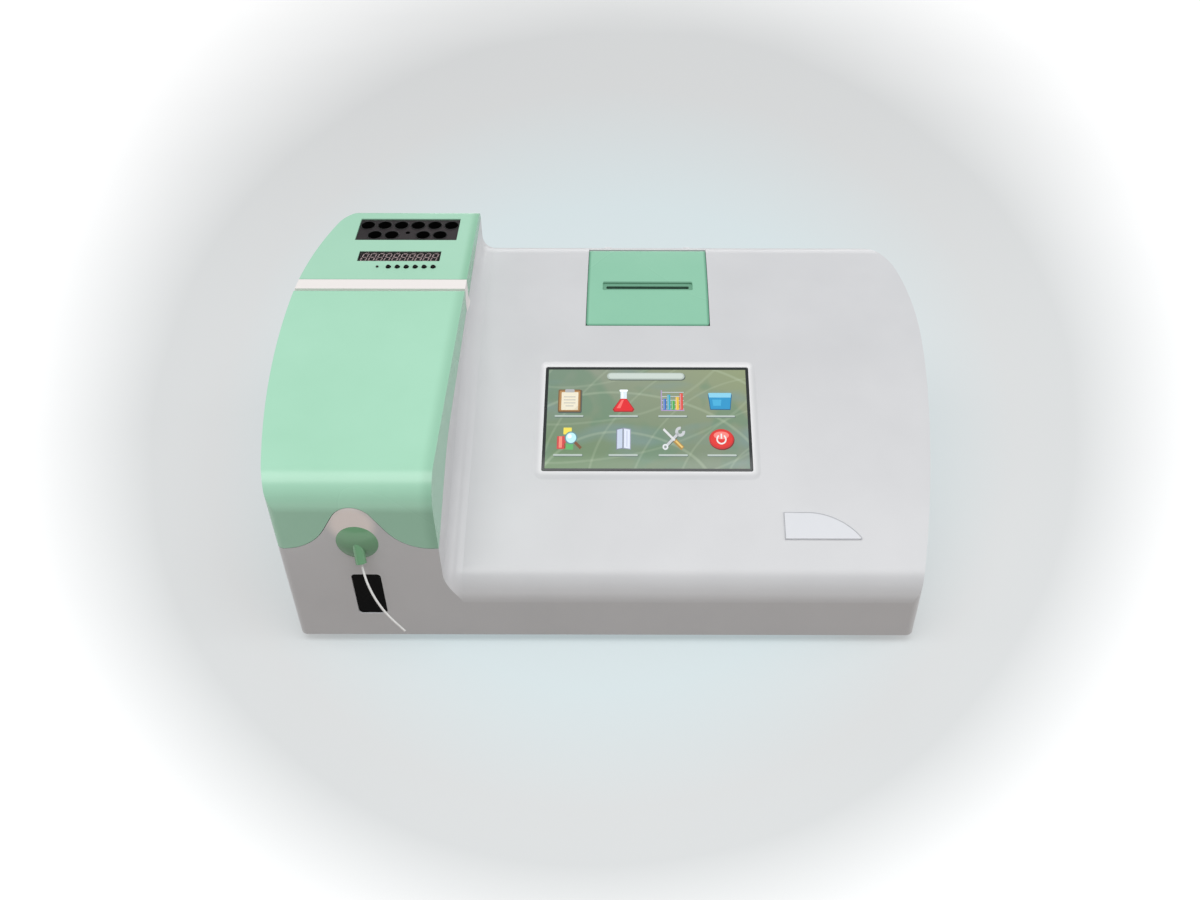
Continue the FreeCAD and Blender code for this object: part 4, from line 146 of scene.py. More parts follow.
# Skin of every moulding: slow mottling, a fine spark-eroded grain, uneven sheen
moulded, given, moulded_out = new_group(
    "Moulded skin",
    {"Grain Scale": 1400, "Flow Scale": 14, "Gloss": 0.4, "Gloss Spread": 0.1, "Wave": 0.3},
    {"Mottle": 0, "Roughness": 0, "Height": 0},
)
where = object_place(moulded)
flow = noise(where, given["Flow Scale"], 3, 0.55)
grain = noise(where, given["Grain Scale"])
handled = worked("SUBTRACT", noise(where, 9, 1, 0.3), 0.5)
feed(moulded_out, "Mottle", ranged(flow, 0.3, 0.7))
feed(moulded_out, "Roughness", worked("MULTIPLY_ADD", handled, given["Gloss Spread"], given["Gloss"]))
feed(moulded_out, "Height", worked("MULTIPLY_ADD", flow, given["Wave"], grain))


def blended(factor, first, second):
    """Colour between two others, by a mask."""
    return add_node(factor, "ShaderNodeMix", {"Factor": factor, 6: first, 7: second}, data_type="RGBA")[2]


def bump(shader, height, distance):
    feed(shader, "Normal", add_node(shader, "ShaderNodeBump", {"Distance": distance, "Height": height})[0])


def skinned(name, group, values, shade, light, dark, depth, metallic=0.0, specular=0.5):
    """Material between two shades of one colour, whose pattern, sheen and relief a group gives."""
    material, shader = new_material(name, values["Gloss"], metallic, specular)
    skin = add_node(shader, "ShaderNodeGroup", values, node_tree=group)
    feed(shader, "Base Color", blended(skin[shade], dark, light))
    feed(shader, "Roughness", skin["Roughness"])
    bump(shader, skin["Height"], depth)
    return material


def moulding(name, light, dark, gloss=0.4, spread=0.12, grain=1400, depth=2e-5, flow=14, specular=0.5):
    """Plastic or rubber as it leaves its mould."""
    values = {"Grain Scale": grain, "Flow Scale": flow, "Gloss": gloss, "Gloss Spread": spread}
    return skinned(name, moulded, values, "Mottle", light, dark, depth, specular=specular)


tube_plastic = moulding(
    "Milky fluoroplastic", (0.86, 0.87, 0.86), (0.76, 0.77, 0.76), 0.28, grain=900, depth=1e-5, flow=160
)
tube_curve = bpy.data.curves.new("sipper_tube_line", "CURVE")
tube_curve.dimensions = "3D"
line = tube_curve.splines.new("NURBS")
line.points.add(len(SIPPER_ROUTE) - 1)
for point, place in zip(line.points, SIPPER_ROUTE):
    point.co = (*place, 1)
line.order_u = 3
line.use_endpoint_u = True
line.resolution_u = 16
tube_curve.bevel_depth = SIPPER_DIAMETER / 2
tube_curve.bevel_resolution = 5
tube_curve.use_fill_caps = True
tube_curve.materials.append(tube_plastic)
sipper_line = new_object("sipper_line", tube_curve)
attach(sipper_line, "base")
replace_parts(sipper_line, "sipper_tube")


# Base tray, bay floor, display bracket, rear plate and lamp housing: zinc-plated
# sheet steel, punched and folded, with the soft spangle of the plating and fine
# rolling lines.
SHEET_RELIEF = 4e-6
sheet, given, sheet_out = new_group(
    "Rolled sheet",
    {"Spangle Scale": 90, "Line Scale": 700, "Gloss": 0.34, "Gloss Spread": 0.16},
    {"Shade": 0, "Roughness": 0, "Height": 0},
)
where = object_place(sheet)


def mapped(where, offset=(0, 0, 0), turn=(0, 0, 0), scale=(1, 1, 1)):
    """Places scaled about the origin, then turned, then moved."""
    values = {"Vector": where, "Location": offset, "Rotation": turn, "Scale": scale}
    return add_node(where, "ShaderNodeMapping", values)[0]


spangle = add_node(sheet, "ShaderNodeTexVoronoi", {"Vector": where, "Scale": given["Spangle Scale"]})
facet = add_node(sheet, "ShaderNodeSeparateColor", {"Color": spangle["Color"]})[0]
rolling = noise(mapped(where, scale=(0.02, 1, 1)), given["Line Scale"])
shade = worked("MULTIPLY_ADD", facet, 0.6, rolling)
centred = worked("SUBTRACT", shade, 0.8)
feed(sheet_out, "Shade", shade)
feed(sheet_out, "Roughness", worked("MULTIPLY_ADD", centred, given["Gloss Spread"], given["Gloss"]))
feed(sheet_out, "Height", rolling)


def metal(name, light, dark, gloss=0.34, spread=0.16, spangle=90, lines=700):
    """Bare or plated metal."""
    values = {"Spangle Scale": spangle, "Line Scale": lines, "Gloss": gloss, "Gloss Spread": spread}
    return skinned(name, sheet, values, "Shade", light, dark, SHEET_RELIEF, metallic=1.0)


def dress(material, *names):
    """Give solids from the construction their finish."""
    for name in names:
        mesh = nodes[name].data
        mesh.materials.clear()
        mesh.materials.append(material)


zinc_sheet = metal("Zinc-plated sheet", (0.76, 0.775, 0.79), (0.68, 0.695, 0.71), 0.46, 0.08)
dress(zinc_sheet, "base_tray", "bay_floor", "display_bracket", "rear_plate", "lamp_housing")

# Feet: four tapered pads of soft black rubber, pressed into the tray's corners.
# The printer's roller and the screen's gasket are of the same rubber.
foot_rubber = moulding(
    "Foot rubber", (0.035, 0.034, 0.033), (0.018, 0.018, 0.018), 0.7, 0.15, grain=700, depth=6e-5
)
dress(foot_rubber, "rubber_feet", "platen_roller", "screen_gasket")


# Tray screws: six plated pan-head screws with a cross recess, driven from below
# through the tray into the bosses of the shell.
TRAY_UNDERSIDE = 0.008
TRAY_HOLES = ((0.224733, -0.138), (0.241639, -0.027), (0.240374, 0.084))
TRAY_SCREWS = [(side * x, y, TRAY_UNDERSIDE) for side in (-1, 1) for x, y in TRAY_HOLES]
SCREW_HEAD = 0.003
SCREW_HEAD_HEIGHT = 0.0018
SCREW_LENGTH = 0.014
SCREW_RECESS = 0.55


def new_pattern(name, sizes):
    """Geometry tree with named sizes, which grows its pieces on the points it is given."""
    pattern = new_group(name, {"Points": None, **sizes}, {"Pieces": None}, "Geometry")
    pattern[0].is_modifier = True
    return pattern


def times(value, factor):
    return worked("MULTIPLY", value, factor)


def vector(x=0.0, y=0.0, z=0.0):
    near = next(part for part in (x, y, z) if isinstance(part, bpy.types.NodeSocket))
    return add_node(near, "ShaderNodeCombineXYZ", {0: x, 1: y, 2: z})[0]


def moved(mesh, offset, turn=(0, 0, 0)):
    values = {"Geometry": mesh, "Translation": offset, "Rotation": turn}
    return add_node(mesh, "GeometryNodeTransform", values)[0]


def joined(*meshes):
    return add_node(meshes[0], "GeometryNodeJoinGeometry", {0: list(meshes)})[0]


def cylinder(sides, radius, depth):
    values = {"Vertices": sides, "Radius": radius, "Depth": depth}
    return add_node(radius, "GeometryNodeMeshCylinder", values)["Mesh"]


def cut_away(blank, *tools):
    values = {"Mesh 1": blank, "Mesh 2": list(tools)}
    return add_node(blank, "GeometryNodeMeshBoolean", values, operation="DIFFERENCE")["Mesh"]


def placed(points, mesh, turn, material, tree_out):
    """Last nodes of a pattern: one copy of the mesh on each point, made real and given its material."""
    copies = {"Points": points, "Instance": mesh, "Rotation": turn}
    copies = add_node(mesh, "GeometryNodeInstanceOnPoints", copies)[0]
    real = add_node(mesh, "GeometryNodeRealizeInstances", {"Geometry": copies})[0]
    feed(tree_out, 0, add_node(mesh, "GeometryNodeSetMaterial", {"Geometry": real, "Material": material})[0])


def grown(name, tree, points, sizes=None):
    """Plain mesh at the origin that a pattern grows on the given points, riding on the base."""
    seed = bpy.data.meshes.new(name + "_places")
    seed.from_pydata(points, [], [])
    piece = new_object(name, seed)
    pattern = piece.modifiers.new("Pattern", "NODES")
    pattern.node_group = tree
    for item in tree.interface.items_tree:
        if item.in_out == "INPUT" and item.name in (sizes or {}):
            pattern[item.identifier] = sizes[item.name]
    shape = piece.evaluated_get(bpy.context.evaluated_depsgraph_get())
    mesh = bpy.data.meshes.new_from_object(shape)
    piece.modifiers.remove(pattern)
    piece.data = mesh
    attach(piece, "base")
    return piece


def screw_pattern(name, material, turn):
    """Pan-head screw with a cross recess; its head stands up from the point, its shank goes down."""
    sizes = {"Head Radius": SCREW_HEAD, "Head Height": SCREW_HEAD_HEIGHT, "Shank": SCREW_LENGTH}
    tree, given, out = new_pattern(name, sizes)
    radius, tall, length = (given[label] for label in sizes)
    rim = times(tall, 0.45)
    low = moved(cylinder(40, radius, rim), vector(z=times(rim, 0.5)))
    crown = {"Vertices": 40, "Radius Bottom": radius, "Radius Top": times(radius, 0.72)}
    crown["Depth"] = times(tall, 0.55)
    crown = add_node(tree, "GeometryNodeMeshCone", crown)["Mesh"]
    blank = joined(low, moved(crown, vector(z=rim)))
    arm = times(radius, 2 * SCREW_RECESS)
    wide = times(radius, 0.26)
    slots = []
    for across, along in ((arm, wide), (wide, arm)):
        bar = add_node(tree, "GeometryNodeMeshCube", {"Size": vector(across, along, tall)})["Mesh"]
        slots.append(moved(bar, vector(z=tall)))
    shank = cylinder(24, times(radius, 0.5), length)
    shank = moved(shank, vector(z=times(length, -0.5)))
    placed(given["Points"], joined(cut_away(blank, *slots), shank), turn, material, out)
    return tree


screw_steel = metal("Plated screw steel", (0.6, 0.6, 0.62), (0.44, 0.44, 0.46), 0.3, spangle=2500)
tray_screw_pattern = screw_pattern("Tray screw", screw_steel, (pi, 0, 0))
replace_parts(grown("tray_screw_set", tray_screw_pattern, TRAY_SCREWS), "tray_screws")
dress(screw_steel, "hinge_pins")

# Optical bench: machined and clear-anodised aluminium plate with the filter
# wheel, the lens tube and the flow cell block bolted to it in one line.
anodised = metal("Anodised aluminium", (0.66, 0.67, 0.69), (0.56, 0.57, 0.59), 0.42, 0.1, 2000, 1600)
dress(anodised, "optical_bench", "lens_tube", "filter_wheel", "flow_cell", "paper_spindle")

# Halogen lamp: quartz bulb cemented into a ceramic cap, which is pushed into the
# lamp housing.
CAP_TOP = 0.0408
CAP_EDGE = 0.0004


def axes(place):
    """The three coordinates of a place."""
    return add_node(place, "ShaderNodeSeparateXYZ", {0: place})


lamp_quartz, shader = new_material("Quartz and ceramic", 0.1, fixed={"Coat Weight": 0.6})
where = object_place(shader)
above_cap = ranged(axes(where)[2], CAP_TOP, CAP_TOP + CAP_EDGE)
smoke = noise(where, 220)
bulb_colour = blended(smoke, (0.55, 0.57, 0.6), (0.8, 0.82, 0.84))
cap_colour = blended(smoke, (0.62, 0.58, 0.5), (0.74, 0.71, 0.64))
feed(shader, "Base Color", blended(above_cap, cap_colour, bulb_colour))
feed(shader, "Roughness", ranged(above_cap, to_low=0.6, to_high=0.08))
dress(lamp_quartz, "halogen_lamp")

# Motors of the pump and of the filter wheel: small cans of drawn steel, each
# screwed on by the face that its shaft comes out of.
motor_steel = metal("Drawn steel can", (0.56, 0.56, 0.57), (0.42, 0.42, 0.43), 0.26, 0.1, 900, 2200)
dress(motor_steel, "pump_motor", "wheel_motor")

# Circuit boards: glass-epoxy laminate under green solder mask, with copper
# tracks that show through it and black packages standing on top.
BOARD_TOP = 0.0182
ABOVE_ALL = 0.2
BOARD_TILT = radians(7.027)


def board_material(name, board_top, track_scale, turn=0.0):
    """Board whose packages start above a height; an upright board has none that show."""
    material, shader = new_material(name, 0.35)
    where = object_place(shader)
    level = mapped(where, turn=(turn, 0, 0))
    parts = worked("GREATER_THAN", axes(level)[2], board_top)
    lines = {"Vector": level, "Scale": track_scale, "Mortar Size": 0.03, "Mortar Smooth": 0.2, "Bias": 0.0}
    tracks = add_node(shader, "ShaderNodeTexBrick", lines, offset=0.37)["Fac"]
    grime = noise(where, 60, 3)
    mask = blended(grime, (0.012, 0.13, 0.05), (0.018, 0.17, 0.065))
    laminate = blended(tracks, mask, (0.05, 0.27, 0.11))
    package = blended(grime, (0.015, 0.015, 0.016), (0.035, 0.035, 0.037))
    feed(shader, "Base Color", blended(parts, laminate, package))
    feed(shader, "Roughness", ranged(grime, to_low=0.28, to_high=0.5))
    bump(shader, worked("ADD", tracks, grime), 4e-5)
    return material


dress(board_material("Solder mask, main board", BOARD_TOP, 60), "main_board")
dress(board_material("Solder mask, supply board", BOARD_TOP, 40), "power_supply")
dress(board_material("Solder mask, detector board", ABOVE_ALL, 90), "photo_detector")
dress(board_material("Solder mask, timer board", ABOVE_ALL, 110, BOARD_TILT), "timer_board")

# Sample pump: black head block with milled raceway, light grey rotor with three
# rollers, and a loop of soft clear tube that they squeeze.
black_plastic = moulding(
    "Black moulding", (0.024, 0.023, 0.024), (0.013, 0.013, 0.014), 0.42, 0.2, grain=1200, depth=3e-5
)
dress(black_plastic, "pump_head", "key_housing", "key_switch")
dress(black_plastic, "print_head", "printer_frame", "display_module")
dress(moulding("Grey acetal", (0.62, 0.63, 0.64), (0.55, 0.56, 0.57), 0.3, grain=900), "pump_rotor")
soft_tube = moulding(
    "Soft pump tube", (0.8, 0.76, 0.66), (0.7, 0.66, 0.57), 0.35, grain=500, depth=1e-5, flow=120
)
dress(soft_tube, "pump_tube")

# Top shell: one large injection moulding in light grey, lightly textured, that
# is the deck, the walls and the strip across the raised side; its colour also
# carries painted highlights by the arch of the sample cover and round the screen.
STRIP_FRONT = 0.0478
STRIP_BACK = 0.0605
STRIP_EDGE = 0.001
STRIP_SIDE = -0.114
STRIP_LEVEL = 0.16
ARCH_HIGHLIGHT_MIDDLE = Vector((-0.1715, -0.16, 0.1175))
ARCH_HIGHLIGHT_REACH = (0.02, 0.01)
SCREEN_TILT = radians(24.5)
SCREEN_SEAT = Vector((0.0297, -0.0346, 0.115148))
SCREEN_WIDTH = 0.1555
SCREEN_LENGTH = 0.0876
GLASS_WIDTH = 0.1587
GLASS_LENGTH = 0.0908
RECESS_HIGHLIGHT_REACH = (0.005, 0.0008)


def reopened(material):
    """A finished material's parts, to lay another shade over some places of its colour."""
    shader = material.node_tree.nodes["Principled BSDF"]
    return shader, shader.inputs["Base Color"].links[0].from_socket, object_place(shader)


def length_of(reach):
    return add_node(reach, "ShaderNodeVectorMath", {0: reach}, operation="LENGTH")["Value"]


def outside_of(x, y, half_x, half_y):
    """How far a place lies outside a rectangle about the origin."""
    reach = []
    for place, half in ((x, half_x), (y, half_y)):
        past = worked("SUBTRACT", worked("ABSOLUTE", place), half)
        reach.append(worked("MAXIMUM", past, 0.0))
    return length_of(vector(*reach))


def seen_from(where, seat_inverse):
    """Places given in the axes of a tilted seat."""
    return mapped(where, seat_inverse.to_translation(), seat_inverse.to_euler())


screen_at = Matrix.Translation(SCREEN_SEAT) @ Matrix.Rotation(SCREEN_TILT, 4, "X")
to_screen = screen_at.inverted()
shell_plastic = moulding(
    "Light grey moulding", (0.64, 0.645, 0.66), (0.605, 0.61, 0.625), 0.3, 0.1, grain=1500, depth=8e-6
)
shader, plain, where = reopened(shell_plastic)
across, along, up = axes(where)
on_strip = worked("LESS_THAN", across, STRIP_SIDE)
for value, operation, limit in (
    (along, "GREATER_THAN", STRIP_FRONT - STRIP_EDGE),
    (along, "LESS_THAN", STRIP_BACK + STRIP_EDGE),
    (up, "GREATER_THAN", STRIP_LEVEL),
):
    on_strip = times(on_strip, worked(operation, value, limit))
# Painted highlight: a lighter, pinkish grey about the arch of the sample cover's wavy edge, above the
# nozzle.
arch_painted_highlight = ranged(length_of(mapped(where, -ARCH_HIGHLIGHT_MIDDLE)), *ARCH_HIGHLIGHT_REACH, smooth=True)
painted_highlights = blended(arch_painted_highlight, plain, (0.97, 0.89, 0.86))
# Painted highlight: a light band on the slope of the screen's recess, just outside the glass.
glass_x, glass_y, _ = axes(seen_from(where, to_screen))
from_glass = outside_of(glass_x, glass_y, GLASS_WIDTH / 2, GLASS_LENGTH / 2)
bevel = ranged(from_glass, *RECESS_HIGHLIGHT_REACH, to_high=0.85, smooth=True)
painted_highlights = blended(bevel, painted_highlights, (0.8, 0.8, 0.81))
feed(shader, "Base Color", blended(on_strip, painted_highlights, (0.84, 0.8, 0.78)))
dress(shell_plastic, "top_shell")

# Sample cover, nozzle and incubator panel, moulded in satin mint green; the
# nozzle's green is deeper, and each cover has painted shade where it rounds off
# over its inner shoulder.
SHOULDER = -0.1147
SHOULDER_END = SHOULDER - 0.001
mint_plastic = moulding(
    "Mint green moulding", (0.4, 0.71, 0.53), (0.375, 0.68, 0.5), 0.26, 0.08, grain=1500, depth=6e-6
)
panel_plastic = moulding(
    "Mint green moulding, panel", (0.395, 0.68, 0.515), (0.37, 0.655, 0.49), 0.26, 0.08, depth=6e-6
)
nozzle_plastic = moulding(
    "Deep mint moulding", (0.17, 0.375, 0.205), (0.15, 0.345, 0.185), 0.13, 0.04, grain=1500, depth=4e-6
)


def painted_shoulder_shade(material, width, deeper):
    """Painted shade, a darker green where a cover rounds off over its inner shoulder."""
    shader, plain, where = reopened(material)
    shoulder = ranged(axes(where)[0], SHOULDER - width, SHOULDER_END, smooth=True)
    feed(shader, "Base Color", blended(shoulder, plain, deeper))


# Painted shade on the shoulders of the sample cover and the incubator panel
painted_shoulder_shade(mint_plastic, 0.01, (0.31, 0.58, 0.42))
painted_shoulder_shade(panel_plastic, 0.008, (0.27, 0.53, 0.37))
dress(mint_plastic, "sample_cover")
dress(panel_plastic, "incubator_panel")
dress(nozzle_plastic, "sipper_nozzle")

# Printer cover: hinged lid in a slightly deeper green, with painted shade round
# its edges and over the recess across it round the slit for the paper.
LID_MIDDLE = (0.0304, 0.0927)
LID_HALF = (0.05, 0.0467)
LID_RIM = (0.0022, 0.0006)
BAND_MIDDLE = (0.0304, 0.0908)
BAND_HALF = (0.0376, 0.0049)
BAND_CORNER = 0.0016
BAND_EDGE = 0.0005
lid_plastic = moulding(
    "Green lid moulding", (0.285, 0.585, 0.415), (0.265, 0.56, 0.395), 0.28, 0.1, grain=1500, depth=6e-6
)
shader, plain, where = reopened(lid_plastic)
lid_axes = axes(where)
# Painted shade: a darker green towards every edge of the lid.
edges = []
for value, middle, half in zip(lid_axes, LID_MIDDLE, LID_HALF):
    away = worked("ABSOLUTE", worked("SUBTRACT", value, middle))
    edges.append(ranged(away, half - LID_RIM[0], half - LID_RIM[1]))
lid_rim_painted_shade = blended(worked("MAXIMUM", *edges), plain, (0.14, 0.36, 0.24))
# Painted shade: a darker green over the recess round the paper slit.
band_x, band_y = (worked("SUBTRACT", value, middle) for value, middle in zip(lid_axes, BAND_MIDDLE))
reach = outside_of(band_x, band_y, *(half - BAND_CORNER for half in BAND_HALF))
slit_recess_painted_shade = ranged(reach, BAND_CORNER, BAND_CORNER - BAND_EDGE)
feed(shader, "Base Color", blended(slit_recess_painted_shade, lid_rim_painted_shade, (0.165, 0.375, 0.255)))
dress(lid_plastic, "printer_cover")

# Incubator block: cast aluminium, hard-coated almost black, with ten bored
# wells, each with a thin black rubber lip pressed into its mouth.
PANEL_TILT = radians(7.02667)
BLOCK_SEAT = Vector((-0.1721, 0.13023, 0.190377))
BLOCK_RECESS = 0.001
BLOCK_EDGE = (0.0004, 0.0001)
WELL_RADIUS = 0.0061
WELL_PITCH = 0.0142
WELL_ROW_GAP = 0.0144
WELL_ROW_SHIFT = 0.001
LIP_RADIUS = 0.00045
block_coat = moulding(
    "Hard-coated block", (0.034, 0.028, 0.03), (0.02, 0.017, 0.019), 0.45, 0.2, grain=1100, specular=0.25
)
shader, plain, where = reopened(block_coat)
to_block = (Matrix.Translation(BLOCK_SEAT) @ Matrix.Rotation(PANEL_TILT, 4, "X")).inverted()
# Painted shade: all that lies sunk below the block's top, the insides of the wells, turns near-black.
depth_there = axes(seen_from(where, to_block))[2]
well_painted_shade = ranged(depth_there, *(-BLOCK_RECESS - edge for edge in BLOCK_EDGE))
feed(shader, "Base Color", blended(well_painted_shade, (0.004, 0.004, 0.004), plain))
dress(block_coat, "incubator_block")


def on_seat(seat, tilt, x, y, z):
    """Place given in a sloping seat's own axes, in the frame of the whole instrument."""
    return seat + Matrix.Rotation(tilt, 3, "X") @ Vector((x, y, z))


lip_rubber = moulding(
    "Well lip rubber", (0.008, 0.008, 0.009), (0.005, 0.005, 0.006), 0.5, 0.1, grain=2500, depth=4e-6
)
tree, given, out = new_pattern("Well mouth", {"Mouth Radius": WELL_RADIUS, "Lip": LIP_RADIUS})
ring = {}
for label, sides, size in (("Curve", 40, "Mouth Radius"), ("Profile Curve", 10, "Lip")):
    circle = {"Resolution": sides, "Radius": given[size]}
    ring[label] = add_node(tree, "GeometryNodeCurvePrimitiveCircle", circle)["Curve"]
ring = add_node(tree, "GeometryNodeCurveToMesh", ring)[0]
placed(given["Points"], ring, (PANEL_TILT, 0, 0), lip_rubber, out)
wells = [((column - 2.5) * WELL_PITCH, WELL_ROW_GAP / 2) for column in range(6)]
for column in (-2, -1, 1, 2):
    wells.append((column * WELL_PITCH - copysign(WELL_ROW_SHIFT, column), -WELL_ROW_GAP / 2))
mouths = [on_seat(BLOCK_SEAT, PANEL_TILT, x, y, -BLOCK_RECESS) for x, y in wells]
grown("well_lips", tree, mouths)

# Incubator's hidden parts: white foam jacket round the block, and the amber
# heater film glued under it.
foam = moulding(
    "Jacket foam", (0.8, 0.8, 0.77), (0.7, 0.7, 0.67), 0.85, 0.05, grain=420, depth=2e-4, flow=60
)
heater_film = moulding(
    "Amber heater film", (0.5, 0.2, 0.03), (0.38, 0.13, 0.02), 0.25, grain=300, depth=3e-5, flow=90
)
dress(foam, "incubator_jacket")
dress(heater_film, "incubator_heater")

# Timer display: ten seven-segment digits moulded in one black block, seen
# through a smoked lens; the unlit segments are a dull pinkish grey with a faint
# painted glow.
LENS_SEAT = Vector((-0.1736, 0.0916, 0.18562))
LENS_DEPTH = 0.002
DIGITS = 10
DIGIT_PITCH = 0.0064
DIGIT_HEIGHT = 0.0102
DIGIT_WIDTH = 0.0041
SEGMENT = 0.001
dress(black_plastic, "timer_display")
# Painted glow: the unlit segments give off a little light of their own colour.
segment_painted_glow, shader = new_material("Display segment, painted glow", 0.5, fixed={"Emission Strength": 0.4})
uneven = noise(object_place(shader), 500)
segment_colour = blended(uneven, (0.34, 0.28, 0.28), (0.44, 0.37, 0.37))
feed(shader, "Base Color", segment_colour)
feed(shader, "Emission Color", segment_colour)
tree, given, out = new_pattern(
    "Seven-segment digit",
    {"Height": DIGIT_HEIGHT, "Width": DIGIT_WIDTH, "Segment": SEGMENT, "Slant": 0.17, "Thick": 0.0002},
)
tall, wide, thick = (given[label] for label in ("Height", "Width", "Segment"))
segment_end = cylinder(4, times(thick, 0.5), given["Thick"])


def segment_bar(length):
    """Long flat bar with a pointed end at either side."""
    reach = times(worked("SUBTRACT", length, thick), 0.5)
    back = times(reach, -1.0)
    ends = [moved(segment_end, vector(side)) for side in (back, reach)]
    return add_node(tree, "GeometryNodeConvexHull", {0: joined(*ends)})[0]


level_bar = segment_bar(times(wide, 0.86))
upright_bar = segment_bar(times(tall, 0.44))
bars = []
for level in (-0.5, 0.0, 0.5):
    bars.append(moved(level_bar, vector(y=times(tall, level))))
for side in (-0.5, 0.5):
    for level in (-0.25, 0.25):
        offset = vector(times(wide, side), times(tall, level))
        bars.append(moved(upright_bar, offset, (0, 0, pi / 2)))
height_there = axes(add_node(tree, "GeometryNodeInputPosition")[0])[1]
lean = vector(times(height_there, given["Slant"]))
slanted = add_node(tree, "GeometryNodeSetPosition", {"Geometry": joined(*bars), "Offset": lean})[0]
placed(given["Points"], slanted, (PANEL_TILT, 0, 0), segment_painted_glow, out)
digit_x = [(number - (DIGITS - 1) / 2) * DIGIT_PITCH for number in range(DIGITS)]
digit_places = [on_seat(LENS_SEAT, PANEL_TILT, x, 0, -LENS_DEPTH) for x in digit_x]
grown("timer_digits", tree, digit_places)

# Timer lens: polished acrylic, tinted dark, let into the panel flush with its
# top and resting on the block of digits.
smoked, shader = new_material("Smoked acrylic", 0.05, fixed={"Transmission Weight": 1.0, "IOR": 1.3})
tint = noise(object_place(shader), 40)
feed(shader, "Base Color", blended(tint, (0.66, 0.6, 0.61), (0.74, 0.68, 0.69)))
feed(shader, "Roughness", ranged(tint, to_low=0.03, to_high=0.09))
dress(smoked, "timer_lens")

# Timer lamp: small dark tinted diode, soldered to the timer board and flush with
# the panel.
lamp_dark = moulding(
    "Dark diode", (0.03, 0.022, 0.018), (0.018, 0.013, 0.011), 0.15, 0.05, grain=2000, depth=4e-6
)
dress(lamp_dark, "timer_lamp")

# Timer buttons: six round push buttons of black rubber, each with a high dome
# and a collar under the panel.
BUTTON_SEAT = Vector((0, 0.0768, 0.183743))
BUTTON_X = [-0.18025 + 0.00726 * number for number in range(6)]
BUTTON_PROFILE = (
    (0.0, 0.00185), (0.0005, 0.0018), (0.00095, 0.00164), (0.00135, 0.00138), (0.00167, 0.00104),
    (0.00188, 0.00064), (0.00198, 0.00022), (0.002, -0.0001), (0.002, -0.0031), (0.0028, -0.0031),
    (0.0028, -0.0043), (0.0, -0.0043),
)


def turned(profile, sides, hollow=False):
    """Solid of revolution about Z, from radius and height pairs; a hollow one's go round its section."""
    form = bmesh.new()
    rings = []
    for radius, height in profile:
        turn = [2 * pi * step / sides for step in range(sides if radius else 1)]
        rings.append([form.verts.new((radius * cos(a), radius * sin(a), height)) for a in turn])
    for upper, lower in zip(rings, rings[1:] + rings[:1] * hollow):
        for step in range(sides):
            after = (step + 1) % sides
            if len(upper) == 1:
                form.faces.new((upper[0], lower[step], lower[after]))
            elif len(lower) == 1:
                form.faces.new((upper[step], lower[0], upper[after]))
            else:
                form.faces.new((upper[step], lower[step], lower[after], upper[after]))
    return form


def laid(form, place):
    bmesh.ops.transform(form, matrix=place, verts=form.verts)
    return form


def finished(name, form, material, body, stands_for=(), smooth=True):
    """Piece from a worked mesh: named, dressed and riding on its body."""
    bmesh.ops.recalc_face_normals(form, faces=form.faces)
    for face in form.faces:
        face.smooth = smooth
    mesh = bpy.data.meshes.new(name)
    form.to_mesh(mesh)
    form.free()
    mesh.materials.append(material)
    piece = new_object(name, mesh)
    if smooth:
        mesh.set_sharp_from_angle(angle=radians(35))
    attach(piece, body)
    if stands_for:
        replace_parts(piece, *stands_for)
    return piece


button_rubber = moulding(
    "Button rubber", (0.006,) * 3, (0.004,) * 3, 0.4, 0.1, grain=1800, depth=6e-6, specular=0.12
)
for number, x in enumerate(BUTTON_X, start=1):
    at = Matrix.Translation(BUTTON_SEAT + Vector((x, 0, 0))) @ Matrix.Rotation(PANEL_TILT, 4, "X")
    button = f"timer_button_{number}"
    cap = laid(turned(BUTTON_PROFILE, 36), at)
    finished(f"button_cap_{number}", cap, button_rubber, button, [button])

# Touch screen: glass front with a thin black printed margin, laid on a gasket
# over the display module in a shallow recess of the deck.
GLASS_TOP = -0.0013
GLASS_HEIGHT = 0.0018
GLASS_CORNER = 0.0012
GLASS_BEVEL = 0.00015
MARGIN = 0.0004
UNDER_GLASS = {"Coat Weight": 0.7, "Coat Roughness": 0.06, "Emission Strength": 0.34}


def rounded_outline(width, length, radius, steps=6):
    """Corner points of a rounded rectangle about the origin, anticlockwise."""
    points = []
    for corner in range(4):
        middle_x = (width / 2 - radius) * (1 if corner in (0, 3) else -1)
        middle_y = (length / 2 - radius) * (1 if corner in (0, 1) else -1)
        for step in range(steps + 1):
            angle = pi / 2 * (corner + step / steps)
            points.append((middle_x + radius * cos(angle), middle_y + radius * sin(angle)))
    return points


def slab(outline, low, high, form=None):
    """Straight-sided plate over an outline, added to a form or on its own."""
    form = bmesh.new() if form is None else form
    under = [form.verts.new((x, y, low)) for x, y in outline]
    over = [form.verts.new((x, y, high)) for x, y in outline]
    faces = [form.faces.new(over), form.faces.new(list(reversed(under)))]
    for first in range(len(outline)):
        second = (first + 1) % len(outline)
        faces.append(form.faces.new((under[first], under[second], over[second], over[first])))
    return form, faces


